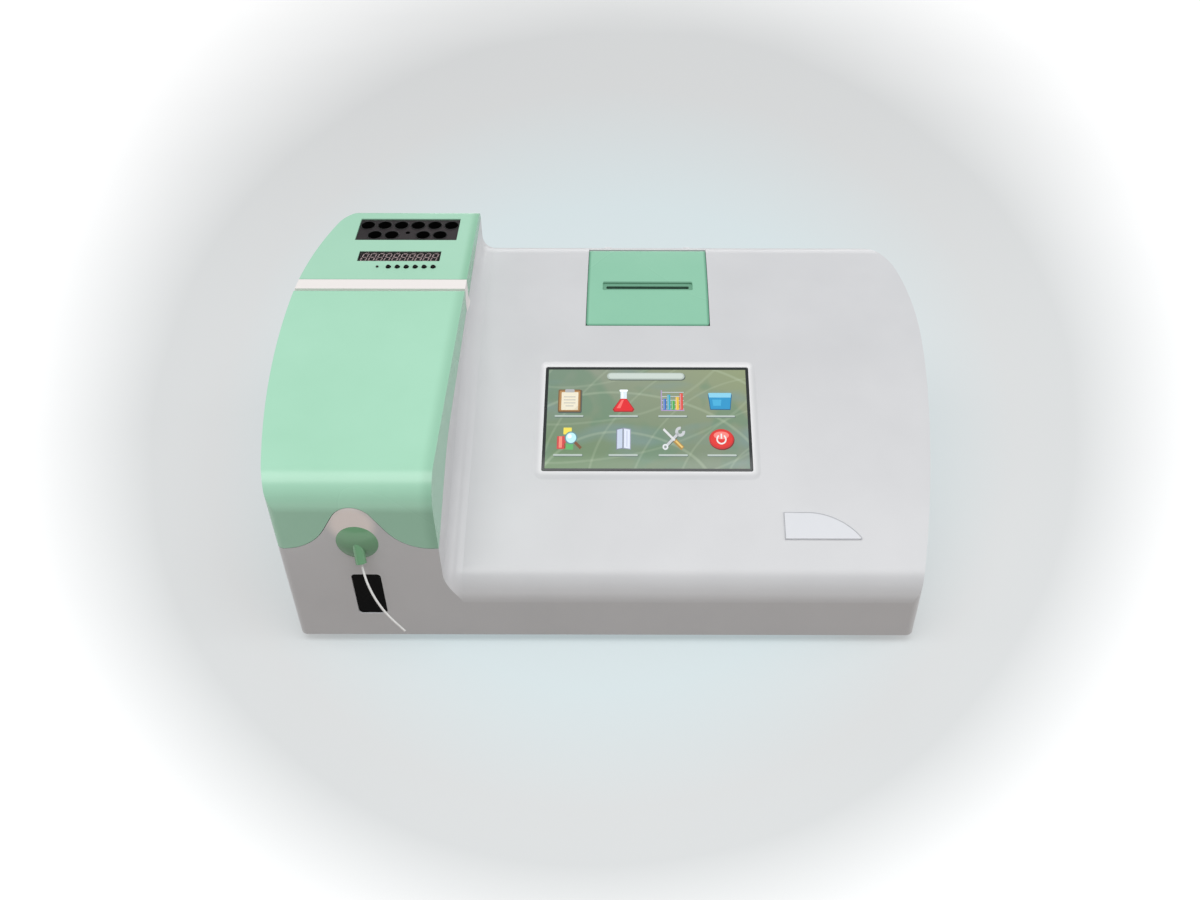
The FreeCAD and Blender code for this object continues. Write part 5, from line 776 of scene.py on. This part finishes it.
lit_screen, shader = new_material("Lit display under glass", 0.35, specular=0.2, fixed=UNDER_GLASS)
flat = seen_from(object_place(shader), to_screen)
flat_x, flat_y, _ = axes(flat)
across_screen = ranged(flat_x, -SCREEN_WIDTH / 2, SCREEN_WIDTH / 2)
up_screen = ranged(flat_y, -SCREEN_LENGTH / 2, SCREEN_LENGTH / 2)
sky_side = blended(across_screen, (0.205, 0.235, 0.195), (0.225, 0.265, 0.15))
field_side = blended(across_screen, (0.105, 0.19, 0.085), (0.16, 0.2, 0.15))
picture = blended(up_screen, field_side, sky_side)
wander = ranged(noise(flat, 26, distortion=0.8), 0.5, 0.62)
picture = blended(times(wander, 0.55), picture, (0.105, 0.2, 0.13))
drift = noise(mapped(flat, (0.3, 0.1, 0), scale=(12, 34, 1)), 1.0)
picture = blended(ranged(drift, 0.52, 0.66, to_high=0.6), picture, (0.15, 0.235, 0.235))
for centre, scale, first, strength in (
    ((0.02, 0.085, 0), 7, 0.984, 0.22),
    ((-0.11, 0.075, 0), 9, 0.988, 0.15),
    ((0.06, -0.13, 0), 8, 0.985, 0.14),
):
    arcs = {"Vector": mapped(flat, centre, scale=(1, 1.25, 1)), "Scale": scale}
    arcs.update({"Distortion": 1.6, "Detail": 1.0, "Detail Scale": 0.8})
    arcs = add_node(shader, "ShaderNodeTexWave", arcs, wave_type="RINGS", rings_direction="Z")["Fac"]
    picture = blended(ranged(arcs, first, 1.0, to_high=strength), picture, (0.42, 0.5, 0.36))
past_picture = [
    worked("GREATER_THAN", worked("ABSOLUTE", value), reach / 2 - MARGIN)
    for value, reach in ((flat_x, SCREEN_WIDTH), (flat_y, SCREEN_LENGTH))
]
shown = blended(worked("MAXIMUM", *past_picture), picture, (0.01, 0.014, 0.014))
feed(shader, "Base Color", shown)
feed(shader, "Emission Color", shown)
glass_outline = rounded_outline(GLASS_WIDTH, GLASS_LENGTH, GLASS_CORNER)
glass, _ = slab(glass_outline, GLASS_TOP - GLASS_HEIGHT, GLASS_TOP)
bmesh.ops.bevel(glass, geom=glass.edges[:], offset=GLASS_BEVEL, segments=2, affect="EDGES")
finished("screen_glass", laid(glass, screen_at), lit_screen, "base", ["touch_glass"])

# Pictures on the screen: eight plain symbols in two rows with a pale bar under
# each, and a pale heading bar, all drawn as thin shapes just over the display.
SYMBOL_COLUMNS = (-60.3, -18.3, 19.6, 56.6)
SYMBOL_ROWS = (15.2, -18.2)
SYMBOL_SCALE = (1.12, 1.28)
LAYER = 0.00003
DISC_SIDES = 28
ARC_STEPS = 20
WHITE = (0.66, 0.67, 0.66)
SHADOW = (0.07, 0.09, 0.08)
BARS = {
    7.8: (0.03, 0.12, 0.4),
    10.6: (0.03, 0.3, 0.42),
    6.4: (0.05, 0.33, 0.06),
    9.0: (0.66, 0.42, 0.02),
    11.6: (0.58, 0.05, 0.04),
}
spot = [0, 0, 1, 1]
symbols = bmesh.new()
ink_layer = symbols.loops.layers.float_color.new("ink")


def patch(points, ink, layer=1):
    """Thin flat shape on the display, in millimetres about the present symbol's middle."""
    points = [((spot[0] + x * spot[2]) / 1000, (spot[1] + y * spot[3]) / 1000) for x, y in points]
    for face in slab(points, GLASS_TOP - LAYER, GLASS_TOP + layer * LAYER, symbols)[1]:
        for loop in face.loops:
            loop[ink_layer] = (*ink, 1)


def box(x, y, width, length, ink, layer=1, radius=0.5):
    patch([(x + px, y + py) for px, py in rounded_outline(width, length, radius, 3)], ink, layer)


def disc(x, y, radius, ink, layer=1, squeeze=1.0):
    turns = [2 * pi * step / DISC_SIDES for step in range(DISC_SIDES)]
    patch([(x + radius * cos(a), y + radius * squeeze * sin(a)) for a in turns], ink, layer)


def stroke(x0, y0, x1, y1, width, ink, layer=1):
    """Straight stroke from one place to another."""
    run = hypot(x1 - x0, y1 - y0)
    side_x = -(y1 - y0) / run * width / 2
    side_y = (x1 - x0) / run * width / 2
    corners = ((x0, y0, 1), (x0, y0, -1), (x1, y1, -1), (x1, y1, 1))
    patch([(x + side * side_x, y + side * side_y) for x, y, side in corners], ink, layer)


def arc(x, y, outer, inner, start, stop, ink, layer=1):
    """Part of a flat ring, between two angles in degrees."""
    for step in range(ARC_STEPS):
        a = radians(start + (stop - start) * step / ARC_STEPS)
        b = radians(start + (stop - start) * (step + 1) / ARC_STEPS)
        corners = [(inner, a), (outer, a), (outer, b), (inner, b)]
        patch([(x + r * cos(t), y + r * sin(t)) for r, t in corners], ink, layer)


def begin(column, row):
    """The next symbol's place on the screen."""
    spot[:] = (SYMBOL_COLUMNS[column], SYMBOL_ROWS[row], *SYMBOL_SCALE)


# Report sheet on a clip board
begin(0, 0)
box(0.5, -0.5, 16.4, 16.2, SHADOW, 1, 1.0)
box(0, 0, 15.8, 15.6, (0.17, 0.09, 0.035), 2, 1.0)
box(0, 0, 14.2, 14.0, (0.36, 0.19, 0.07), 3, 0.8)
box(0.2, -0.3, 11.6, 12.4, (0.68, 0.63, 0.5), 4, 0.4)
for number, length in enumerate((8.2, 8.2, 8.2, 5.6)):
    box(0.1, 2.6 - number * 2.1, length, 0.6, (0.42, 0.41, 0.37), 5, 0.2)
box(0, 6.9, 6.6, 2.3, (0.35, 0.36, 0.37), 5, 0.8)
patch([(6.0, -6.5), (2.8, -6.5), (6.0, -3.4)], (0.6, 0.55, 0.42), 5)
# Flask with a red reagent
begin(1, 0)
flask = [(-2.2, 1.5), (-7.6, -6.0), (-6.4, -7.8), (6.4, -7.8), (7.6, -6.0), (2.2, 1.5)]
patch(flask, (0.3, 0.02, 0.02), 1)
reagent = [(-1.9, 1.4), (-6.6, -5.7), (-5.7, -7.0), (5.7, -7.0), (6.6, -5.7), (1.9, 1.4)]
patch(reagent, (0.6, 0.015, 0.02), 2)
patch([(-1.2, 0.6), (-4.9, -5.2), (-2.2, -5.2), (0.2, 0.6)], (0.74, 0.13, 0.12), 3)
patch([(-2.2, 1.4), (2.2, 1.4), (2.2, 6.6), (-2.2, 6.6)], (0.58, 0.66, 0.72), 2)
box(0, 7.1, 5.8, 1.4, (0.8, 0.84, 0.88), 3, 0.6)
box(-0.8, 3.8, 1.0, 4.0, (0.84, 0.88, 0.92), 3, 0.3)
# Bar chart
begin(2, 0)
for number in range(5):
    stroke(-7.6, -5.6 + number * 2.9, 8.0, -5.6 + number * 2.9, 0.35, (0.52, 0.55, 0.62), 1)
stroke(-7.6, -6.6, -7.6, 7.4, 0.8, (0.34, 0.26, 0.44), 2)
stroke(-7.9, -6.6, 8.2, -6.6, 0.8, (0.34, 0.26, 0.44), 2)
for number, (tall, bar_ink) in enumerate(BARS.items()):
    left = -5.4 + number * 2.9
    paler_ink = [0.25 + 0.55 * part for part in bar_ink]
    box(left, -6.3 + tall / 2, 2.2, tall, bar_ink, 3, 0.2)
    box(left - 0.5, -6.3 + tall / 2, 0.6, tall - 0.8, paler_ink, 4, 0.2)
# Filing tray
begin(3, 0)
patch([(-8.4, 4.6), (-7.0, -6.2), (7.0, -6.2), (8.4, 4.6)], (0.01, 0.1, 0.22), 1)
patch([(-7.8, 4.0), (-6.6, -5.6), (6.6, -5.6), (7.8, 4.0)], (0.02, 0.24, 0.46), 2)
patch([(-8.0, 5.6), (-7.6, 2.4), (7.6, 2.4), (8.0, 5.6)], (0.2, 0.5, 0.66), 3)
patch([(-5.4, 0.9), (-4.8, -3.4), (0.4, -3.4), (1.0, 0.9)], (0.05, 0.34, 0.56), 3)
# Sample blocks under a lens
begin(0, 1)
box(-4.6, -2.6, 6.0, 8.6, (0.5, 0.05, 0.05), 1, 0.4)
box(-5.2, -2.2, 2.2, 7.6, (0.74, 0.22, 0.16), 2, 0.3)
box(-0.6, 5.2, 5.6, 4.6, (0.72, 0.6, 0.08), 1, 0.4)
box(0.4, -5.2, 6.2, 4.2, (0.1, 0.36, 0.12), 1, 0.4)
disc(1.9, 0.6, 4.3, (0.1, 0.22, 0.26), 2)
disc(1.9, 0.6, 3.5, (0.42, 0.7, 0.74), 3)
disc(0.9, 1.6, 1.4, (0.78, 0.88, 0.9), 4)
stroke(4.6, -2.3, 8.8, -6.4, 1.9, (0.17, 0.07, 0.03), 3)
# Standing binder
begin(1, 1)
patch([(-4.8, -7.4), (-4.8, 6.6), (-0.2, 7.6), (-0.2, -6.6)], (0.17, 0.19, 0.24), 1)
patch([(-4.2, -6.7), (-4.2, 6.1), (-0.6, 6.9), (-0.6, -6.1)], (0.46, 0.52, 0.64), 2)
patch([(-0.2, -6.6), (-0.2, 7.6), (5.2, 6.8), (5.2, -7.2)], (0.24, 0.27, 0.34), 1)
patch([(0.5, -6.1), (0.5, 6.9), (4.6, 6.2), (4.6, -6.6)], (0.6, 0.64, 0.74), 2)
stroke(2.5, -5.2, 2.5, 5.4, 0.7, (0.44, 0.48, 0.6), 3)
# Crossed spanner and driver
begin(2, 1)
stroke(-5.0, -5.4, 3.8, 3.6, 2.6, SHADOW, 1)
stroke(-5.0, -5.2, 3.8, 3.8, 1.9, (0.46, 0.48, 0.5), 2)
arc(5.0, 4.9, 3.4, 1.4, 80, 370, (0.46, 0.48, 0.5), 2)
disc(-5.2, -5.4, 2.0, (0.6, 0.62, 0.64), 3)
disc(-5.2, -5.4, 0.9, (0.2, 0.24, 0.22), 4)
stroke(-6.4, 6.6, 1.4, -1.2, 1.5, (0.58, 0.59, 0.6), 3)
stroke(1.2, -1.0, 6.6, -6.4, 2.9, (0.34, 0.2, 0.05), 3)
stroke(1.8, -1.2, 6.4, -5.8, 1.1, (0.66, 0.46, 0.14), 4)
# Round red switch-off button
begin(3, 1)
disc(0.3, -0.6, 8.6, (0.14, 0.01, 0.01), 1, 0.8)
disc(0, 0, 8.4, (0.5, 0.02, 0.02), 2, 0.8)
disc(0, 0.3, 7.4, (0.6, 0.025, 0.02), 3, 0.78)
disc(0, 2.4, 5.2, (0.76, 0.19, 0.17), 4, 0.5)
arc(0, -0.2, 3.5, 2.5, -235, 55, WHITE, 5)
stroke(0, 0.2, 0, 3.6, 1.0, WHITE, 5)
# Heading bar and the bars under the symbols
spot[:] = (0, 0, 1, 1)
box(-0.4, 36.9, 61.0, 6.6, SHADOW, 1, 3.0)
box(-1.0, 37.5, 61.0, 6.2, (0.36, 0.42, 0.38), 2, 3.0)
box(-1.0, 37.7, 58.6, 4.4, (0.47, 0.53, 0.49), 3, 2.2)
for x in SYMBOL_COLUMNS:
    for y in (SYMBOL_ROWS[0] - 13.6, SYMBOL_ROWS[1] - 13.9):
        box(x + 0.3, y - 0.35, 22.6, 2.0, (0.09, 0.13, 0.11), 1, 0.9)
        box(x, y, 22.2, 1.5, (0.38, 0.44, 0.41), 2, 0.7)
screen_ink, shader = new_material("Lit symbols under glass", 0.35, specular=0.2, fixed=UNDER_GLASS)
ink = add_node(shader, "ShaderNodeAttribute", attribute_name="ink")["Color"]
feed(shader, "Base Color", ink)
feed(shader, "Emission Color", ink)
finished("screen_symbols", laid(symbols, screen_at), screen_ink, "base", smooth=False)

# Blank badge: thin plate with a silver-white satin lacquer and a grey rim of
# painted shade, glued to the deck, straight along its left and lower edges.
BADGE_BEVEL = 0.00028
BADGE_RIM = 0.0008
LACQUER = {"spread": 0.08, "grain": 2600, "depth": 3e-6, "flow": 30}
badge_lacquer = moulding("Silver-white lacquer", (0.67, 0.685, 0.72), (0.65, 0.665, 0.7), 0.24, **LACQUER)
badge_rim_painted_shade = moulding("Badge rim, painted shade", (0.47, 0.48, 0.5), (0.44, 0.45, 0.47), 0.3, **LACQUER)
badge = bmesh.new()
badge.from_mesh(nodes["blank_badge"].data)
bmesh.ops.remove_doubles(badge, verts=badge.verts, dist=1e-6)
bmesh.ops.dissolve_limit(badge, angle_limit=radians(1), verts=badge.verts, edges=badge.edges)
rims = [edge for edge in badge.edges if edge.calc_face_angle(0) > radians(60)]
bmesh.ops.bevel(badge, geom=rims, offset=BADGE_BEVEL, segments=3, affect="EDGES", clamp_overlap=True)
badge_face = max(badge.faces, key=lambda face: face.calc_area() * (face.normal.z > 0.5))
# Painted shade: a grey band inset round the edge of the badge's top face.
for face in bmesh.ops.inset_region(badge, faces=[badge_face], thickness=BADGE_RIM)["faces"]:
    face.material_index = 1
badge_piece = finished("bare_badge", badge, badge_lacquer, "base", ["blank_badge"])
badge_piece.data.materials.append(badge_rim_painted_shade)

# Paper roll: tightly wound thermal paper, its turns showing as fine rings on
# both ends.
ROLL_AXIS = Vector((0, 0.097, 0.120968))
roll_paper, shader = new_material("Wound paper", 0.75)
turns = {"Vector": mapped(object_place(shader), -ROLL_AXIS), "Scale": 330, "Distortion": 0.3}
turns = add_node(shader, "ShaderNodeTexWave", turns, wave_type="RINGS", rings_direction="X")["Fac"]
feed(shader, "Base Color", blended(turns, (0.7, 0.7, 0.68), (0.82, 0.82, 0.8)))
bump(shader, turns, 3e-5)
dress(roll_paper, "paper_roll")

# Aspirate key: tall black moulded key, a little sunk in the front wall, sliding
# in its housing.
key_plastic = moulding(
    "Black key moulding", (0.006, 0.005, 0.005), (0.003, 0.003, 0.003), 0.3, depth=8e-6, specular=0.04
)
dress(key_plastic, "aspirate_key")

# Mains inlet: black flame-proof moulding let into the rear plate, with three
# flat brass blades, nickel plated, standing in its socket.
BLADE_PLACES = ((0.127, 0.049), (0.141, 0.049), (0.134, 0.053))
BLADE_WIDTH = 0.0022
BLADE_HEIGHT = 0.0042
BLADE_CORNER = 0.0004
BLADE_BEVEL = 0.0005
BLADE_BACK = 0.1428
BLADE_TIP = 0.1569
FACING_BACK = Matrix.Rotation(radians(-90), 4, "X")
dress(black_plastic, "mains_inlet")
nickel = metal("Nickelled brass", (0.74, 0.72, 0.68), (0.62, 0.6, 0.56), 0.2, 0.08, spangle=3000)


def gathered(forms):
    """One worked mesh out of several."""
    whole = bmesh.new()
    for form in forms:
        mesh = bpy.data.meshes.new("gathered")
        form.to_mesh(mesh)
        form.free()
        whole.from_mesh(mesh)
        bpy.data.meshes.remove(mesh)
    return whole


blades = []
for x, z in BLADE_PLACES:
    blade, _ = slab(rounded_outline(BLADE_WIDTH, BLADE_HEIGHT, BLADE_CORNER, 3), 0, BLADE_TIP - BLADE_BACK)
    tip = [edge for edge in blade.edges if all(vert.co.z > 0 for vert in edge.verts)]
    bmesh.ops.bevel(blade, geom=tip, offset=BLADE_BEVEL, segments=2, affect="EDGES", clamp_overlap=True)
    blades.append(laid(blade, Matrix.Translation((x, BLADE_BACK, z)) @ FACING_BACK))
finished("inlet_blades", gathered(blades), nickel, "base")

# Power switch: rocker of gloss black plastic in its housing, with a moulded
# line for on at one end and a ring for off at the other, filled in white.
ROCKER_PIVOT = Vector((0.098, 0.152533, 0.049))
ROCKER_REST = radians(-6)
FACE_OUT = 0.00417
FACE_ALONG = 0.005
FACE_SLOPE = atan2(0.001667, 0.01)
MARK_HEIGHT = 0.0036
MARK_LINE = 0.0006
MARK_DEPTH = 0.00008
MARK_CORNER = 0.0002
dress(black_plastic, "switch_housing", "power_rocker")
mark_paint = moulding(
    "White mark filling", (0.8, 0.8, 0.79), (0.72, 0.72, 0.71), 0.5, grain=3000, depth=3e-6, flow=200
)
line_mark, _ = slab(rounded_outline(MARK_LINE, MARK_HEIGHT, MARK_CORNER, 3), -MARK_DEPTH, MARK_DEPTH)
outer, inner = MARK_HEIGHT / 2, MARK_HEIGHT / 2 - MARK_LINE
ring_profile = ((outer, -MARK_DEPTH), (outer, MARK_DEPTH), (inner, MARK_DEPTH), (inner, -MARK_DEPTH))
marks = []
for mark, end in ((line_mark, 1), (turned(ring_profile, 32, hollow=True), -1)):
    at = (
        Matrix.Translation(ROCKER_PIVOT)
        @ Matrix.Rotation(ROCKER_REST, 4, "X")
        @ Matrix.Translation((0, FACE_OUT, end * FACE_ALONG))
        @ Matrix.Rotation(radians(-90) + end * FACE_SLOPE, 4, "X")
    )
    marks.append(laid(mark, at))
finished("rocker_marks", gathered(marks), mark_paint, "power_rocker", smooth=False)

# Fan: black frame and rotor, screwed behind the slots of the rear plate; the
# waste spigot below is turned from the same black plastic.
dress(black_plastic, "fan_frame", "fan_rotor", "waste_outlet")

# Serial and data ports: drawn and tinned steel shells in the rear plate, one with
# nine plated pins between two hexagon posts, the other with a black tongue.
SERIAL_MIDDLE = (0.006, 0.049)
SERIAL_FLANGE = 0.158
PIN_MIDDLE = 0.1547
PIN_PITCH = 0.00277
PIN_ROW_GAP = 0.0028
POST_SIDE = 0.0125
POST_OUT = 0.0017
USB_MIDDLE = (-0.026, 0.049)
TONGUE_FOOT = 0.148
TONGUE_RISE = 0.0009
TONGUE_SECTION = (0.0112, 0.0018, 0.0002)
TONGUE_LENGTH = 0.009
tinned = metal("Tinned shell", (0.7, 0.7, 0.69), (0.58, 0.58, 0.58), 0.22, 0.08, spangle=3000)
dress(tinned, "serial_port", "usb_port")
tree, given, out = new_pattern("Contact pin", {"Radius": 0.0005, "Length": 0.01})
ball = {"Segments": 16, "Rings": 8, "Radius": given["Radius"]}
ball = add_node(tree, "GeometryNodeMeshUVSphere", ball)["Mesh"]
ball = moved(ball, vector(z=times(given["Length"], 0.5)))
pin = joined(cylinder(16, given["Radius"], given["Length"]), ball)
pin = add_node(tree, "GeometryNodeConvexHull", {0: pin})[0]
placed(given["Points"], pin, (radians(-90), 0, 0), nickel, out)
pin_places = []
for count, row in ((5, 0.5), (4, -0.5)):
    for number in range(count):
        x = SERIAL_MIDDLE[0] + (number - (count - 1) / 2) * PIN_PITCH
        pin_places.append((x, PIN_MIDDLE, SERIAL_MIDDLE[1] + row * PIN_ROW_GAP))
grown("serial_pins", tree, pin_places)
tree, given, out = new_pattern("Hexagon post", {"Radius": 0.0026, "Height": 0.0034, "Bore": 0.0013})
bore = cylinder(20, given["Bore"], given["Height"])
bore = moved(bore, vector(z=times(given["Height"], 0.5)))
post = cut_away(cylinder(6, given["Radius"], given["Height"]), bore)
placed(given["Points"], post, (radians(-90), 0, 0), screw_steel, out)
post_x = [SERIAL_MIDDLE[0] + side * POST_SIDE for side in (-1, 1)]
post_places = [(x, SERIAL_FLANGE + POST_OUT, SERIAL_MIDDLE[1]) for x in post_x]
grown("serial_posts", tree, post_places)
tongue, _ = slab(rounded_outline(*TONGUE_SECTION, 2), 0, TONGUE_LENGTH)
tongue_at = Matrix.Translation((USB_MIDDLE[0], TONGUE_FOOT, USB_MIDDLE[1] + TONGUE_RISE)) @ FACING_BACK
finished("data_tongue", laid(tongue, tongue_at), black_plastic, "base", smooth=False)

# Plate screws: eight black pan-head screws, one in each corner of the rear
# plate and four that hold the fan behind it.
PLATE_FACE = 0.1572
PLATE_CORNERS = [(x, PLATE_FACE, z) for z in (0.0255, 0.0725) for x in (-0.041, 0.151)]
FAN_CORNERS = [(x, PLATE_FACE, z) for z in (0.029, 0.069) for x in (0.032, 0.072)]
PLATE_SCREW = {"Head Radius": 0.0024, "Head Height": 0.0014, "Shank": 0.001}
dark_screw = metal("Blackened screw steel", (0.1, 0.1, 0.105), (0.06, 0.06, 0.065), 0.35, spangle=2500)
plate_screw_pattern = screw_pattern("Plate screw", dark_screw, (radians(-90), 0, 0))
grown("rear_plate_screws", plate_screw_pattern, PLATE_CORNERS + FAN_CORNERS, PLATE_SCREW)

# Bench top: a pale seamless sweep under the instrument, cool grey round it and
# fading to white in a wide oval.
FLOOR_REACH = 6
FLOOR_NEAR = (0.69, 0.79, 0.81)
FLOOR_RING = (0.72, 0.682, 0.67)
FLOOR_FAR = (1.7, 1.7, 1.7)
FLOOR_GLOW = 0.5
OVAL_SHIFT = (0, -0.0858, 0)
OVAL_SCALE = (1.726, 1.184, 1)
OVAL_WIDTH = (0.7851, 0.922, 0.2)
GREYER = (0.45, 0.66)
WHITER = (0.76, 1.16)
corners = [(x * FLOOR_REACH, y * FLOOR_REACH, 0) for x, y in ((-1, -1), (1, -1), (1, 1), (-1, 1))]
floor_mesh = bpy.data.meshes.new("bench_top")
floor_mesh.from_pydata(corners, [], [(0, 1, 2, 3)])
floor = new_object("bench_top", floor_mesh)
sweep_material, shader = new_material("Pale sweep", 0.8, specular=0.1)
where = object_place(shader)
soft = noise(where, 3.0)
# The oval widens with the distance from the front
widening, start, least = OVAL_WIDTH
wide = worked("MAXIMUM", worked("MULTIPLY_ADD", axes(where)[1], widening, start), least)
oval = length_of(mapped(where, OVAL_SHIFT, scale=OVAL_SCALE))
wavering = worked("MULTIPLY_ADD", soft, 0.03, worked("DIVIDE", oval, wide))
fade = ranged(wavering, *WHITER)
near = blended(ranged(wavering, *GREYER), FLOOR_NEAR, FLOOR_RING)
glow = {"Color": blended(fade, near, FLOOR_FAR), "Strength": FLOOR_GLOW}
glow = add_node(shader, "ShaderNodeEmission", glow)[0]
seen_body = blended(fade, (0.36, 0.395, 0.405), (0.5, 0.5, 0.5))
seen_body = add_node(shader, "ShaderNodeBsdfDiffuse", {"Color": seen_body})[0]
seen = add_node(shader, "ShaderNodeAddShader", {0: glow, 1: seen_body})[0]
feed(shader, "Base Color", blended(soft, (0.37, 0.31, 0.27), (0.4, 0.34, 0.3)))
rays = add_node(shader, "ShaderNodeLightPath")
straight = worked("MAXIMUM", rays["Is Camera Ray"], rays["Is Glossy Ray"])
straight = worked("MAXIMUM", straight, rays["Is Transmission Ray"])
either = add_node(shader, "ShaderNodeMixShader", {0: straight, 1: shader.outputs[0], 2: seen})[0]
feed(sweep_material.node_tree.nodes["Material Output"], "Surface", either)
floor_mesh.materials.append(sweep_material)

# Room and lamps: a white room, dimmer for the light it gives than for the camera,
# and four large softboxes, of which the one overhead does most.
LAMPS = {
    "Overhead softbox": ((0.0, -0.52, 1.78), (0, 0, 0.1), 2.4, 1.1, 27),
    "Right panel": ((1.9, 0.0, 0.8), (0, 0, 0.12), 1.2, 1.2, 9),
    "Left panel": ((-1.9, 0.0, 0.8), (0, 0, 0.12), 1.2, 1.2, 6),
    "Back panel": ((0.2, 2.2, 0.9), (0, 0.1, 0.1), 1.6, 1.0, 9),
}
world = bpy.data.worlds.new("Studio")
bpy.context.scene.world = world
world.use_nodes = True
room_tree = world.node_tree
lit_room = room_tree.nodes["Background"]
lit_room.inputs["Color"].default_value = (0.98, 0.99, 1.0, 1)
lit_room.inputs["Strength"].default_value = 0.3
seen_room = add_node(room_tree, "ShaderNodeBackground", {"Color": (1, 1, 1), "Strength": 1.0})[0]
to_camera = add_node(room_tree, "ShaderNodeLightPath")["Is Camera Ray"]
room = add_node(room_tree, "ShaderNodeMixShader", {0: to_camera, 1: lit_room.outputs[0], 2: seen_room})[0]
feed(room_tree.nodes["World Output"], "Surface", room)
for name, (place, target, width, length, power) in LAMPS.items():
    data = bpy.data.lights.new(name, "AREA")
    data.shape = "RECTANGLE"
    data.size = width
    data.size_y = length
    data.energy = power
    lamp = new_object(name, data)
    aim = (Vector(target) - Vector(place)).to_track_quat("-Z", "Y")
    lamp.matrix_world = Matrix.Translation(place) @ aim.to_matrix().to_4x4()
bpy.context.scene.view_settings.view_transform = "Standard"
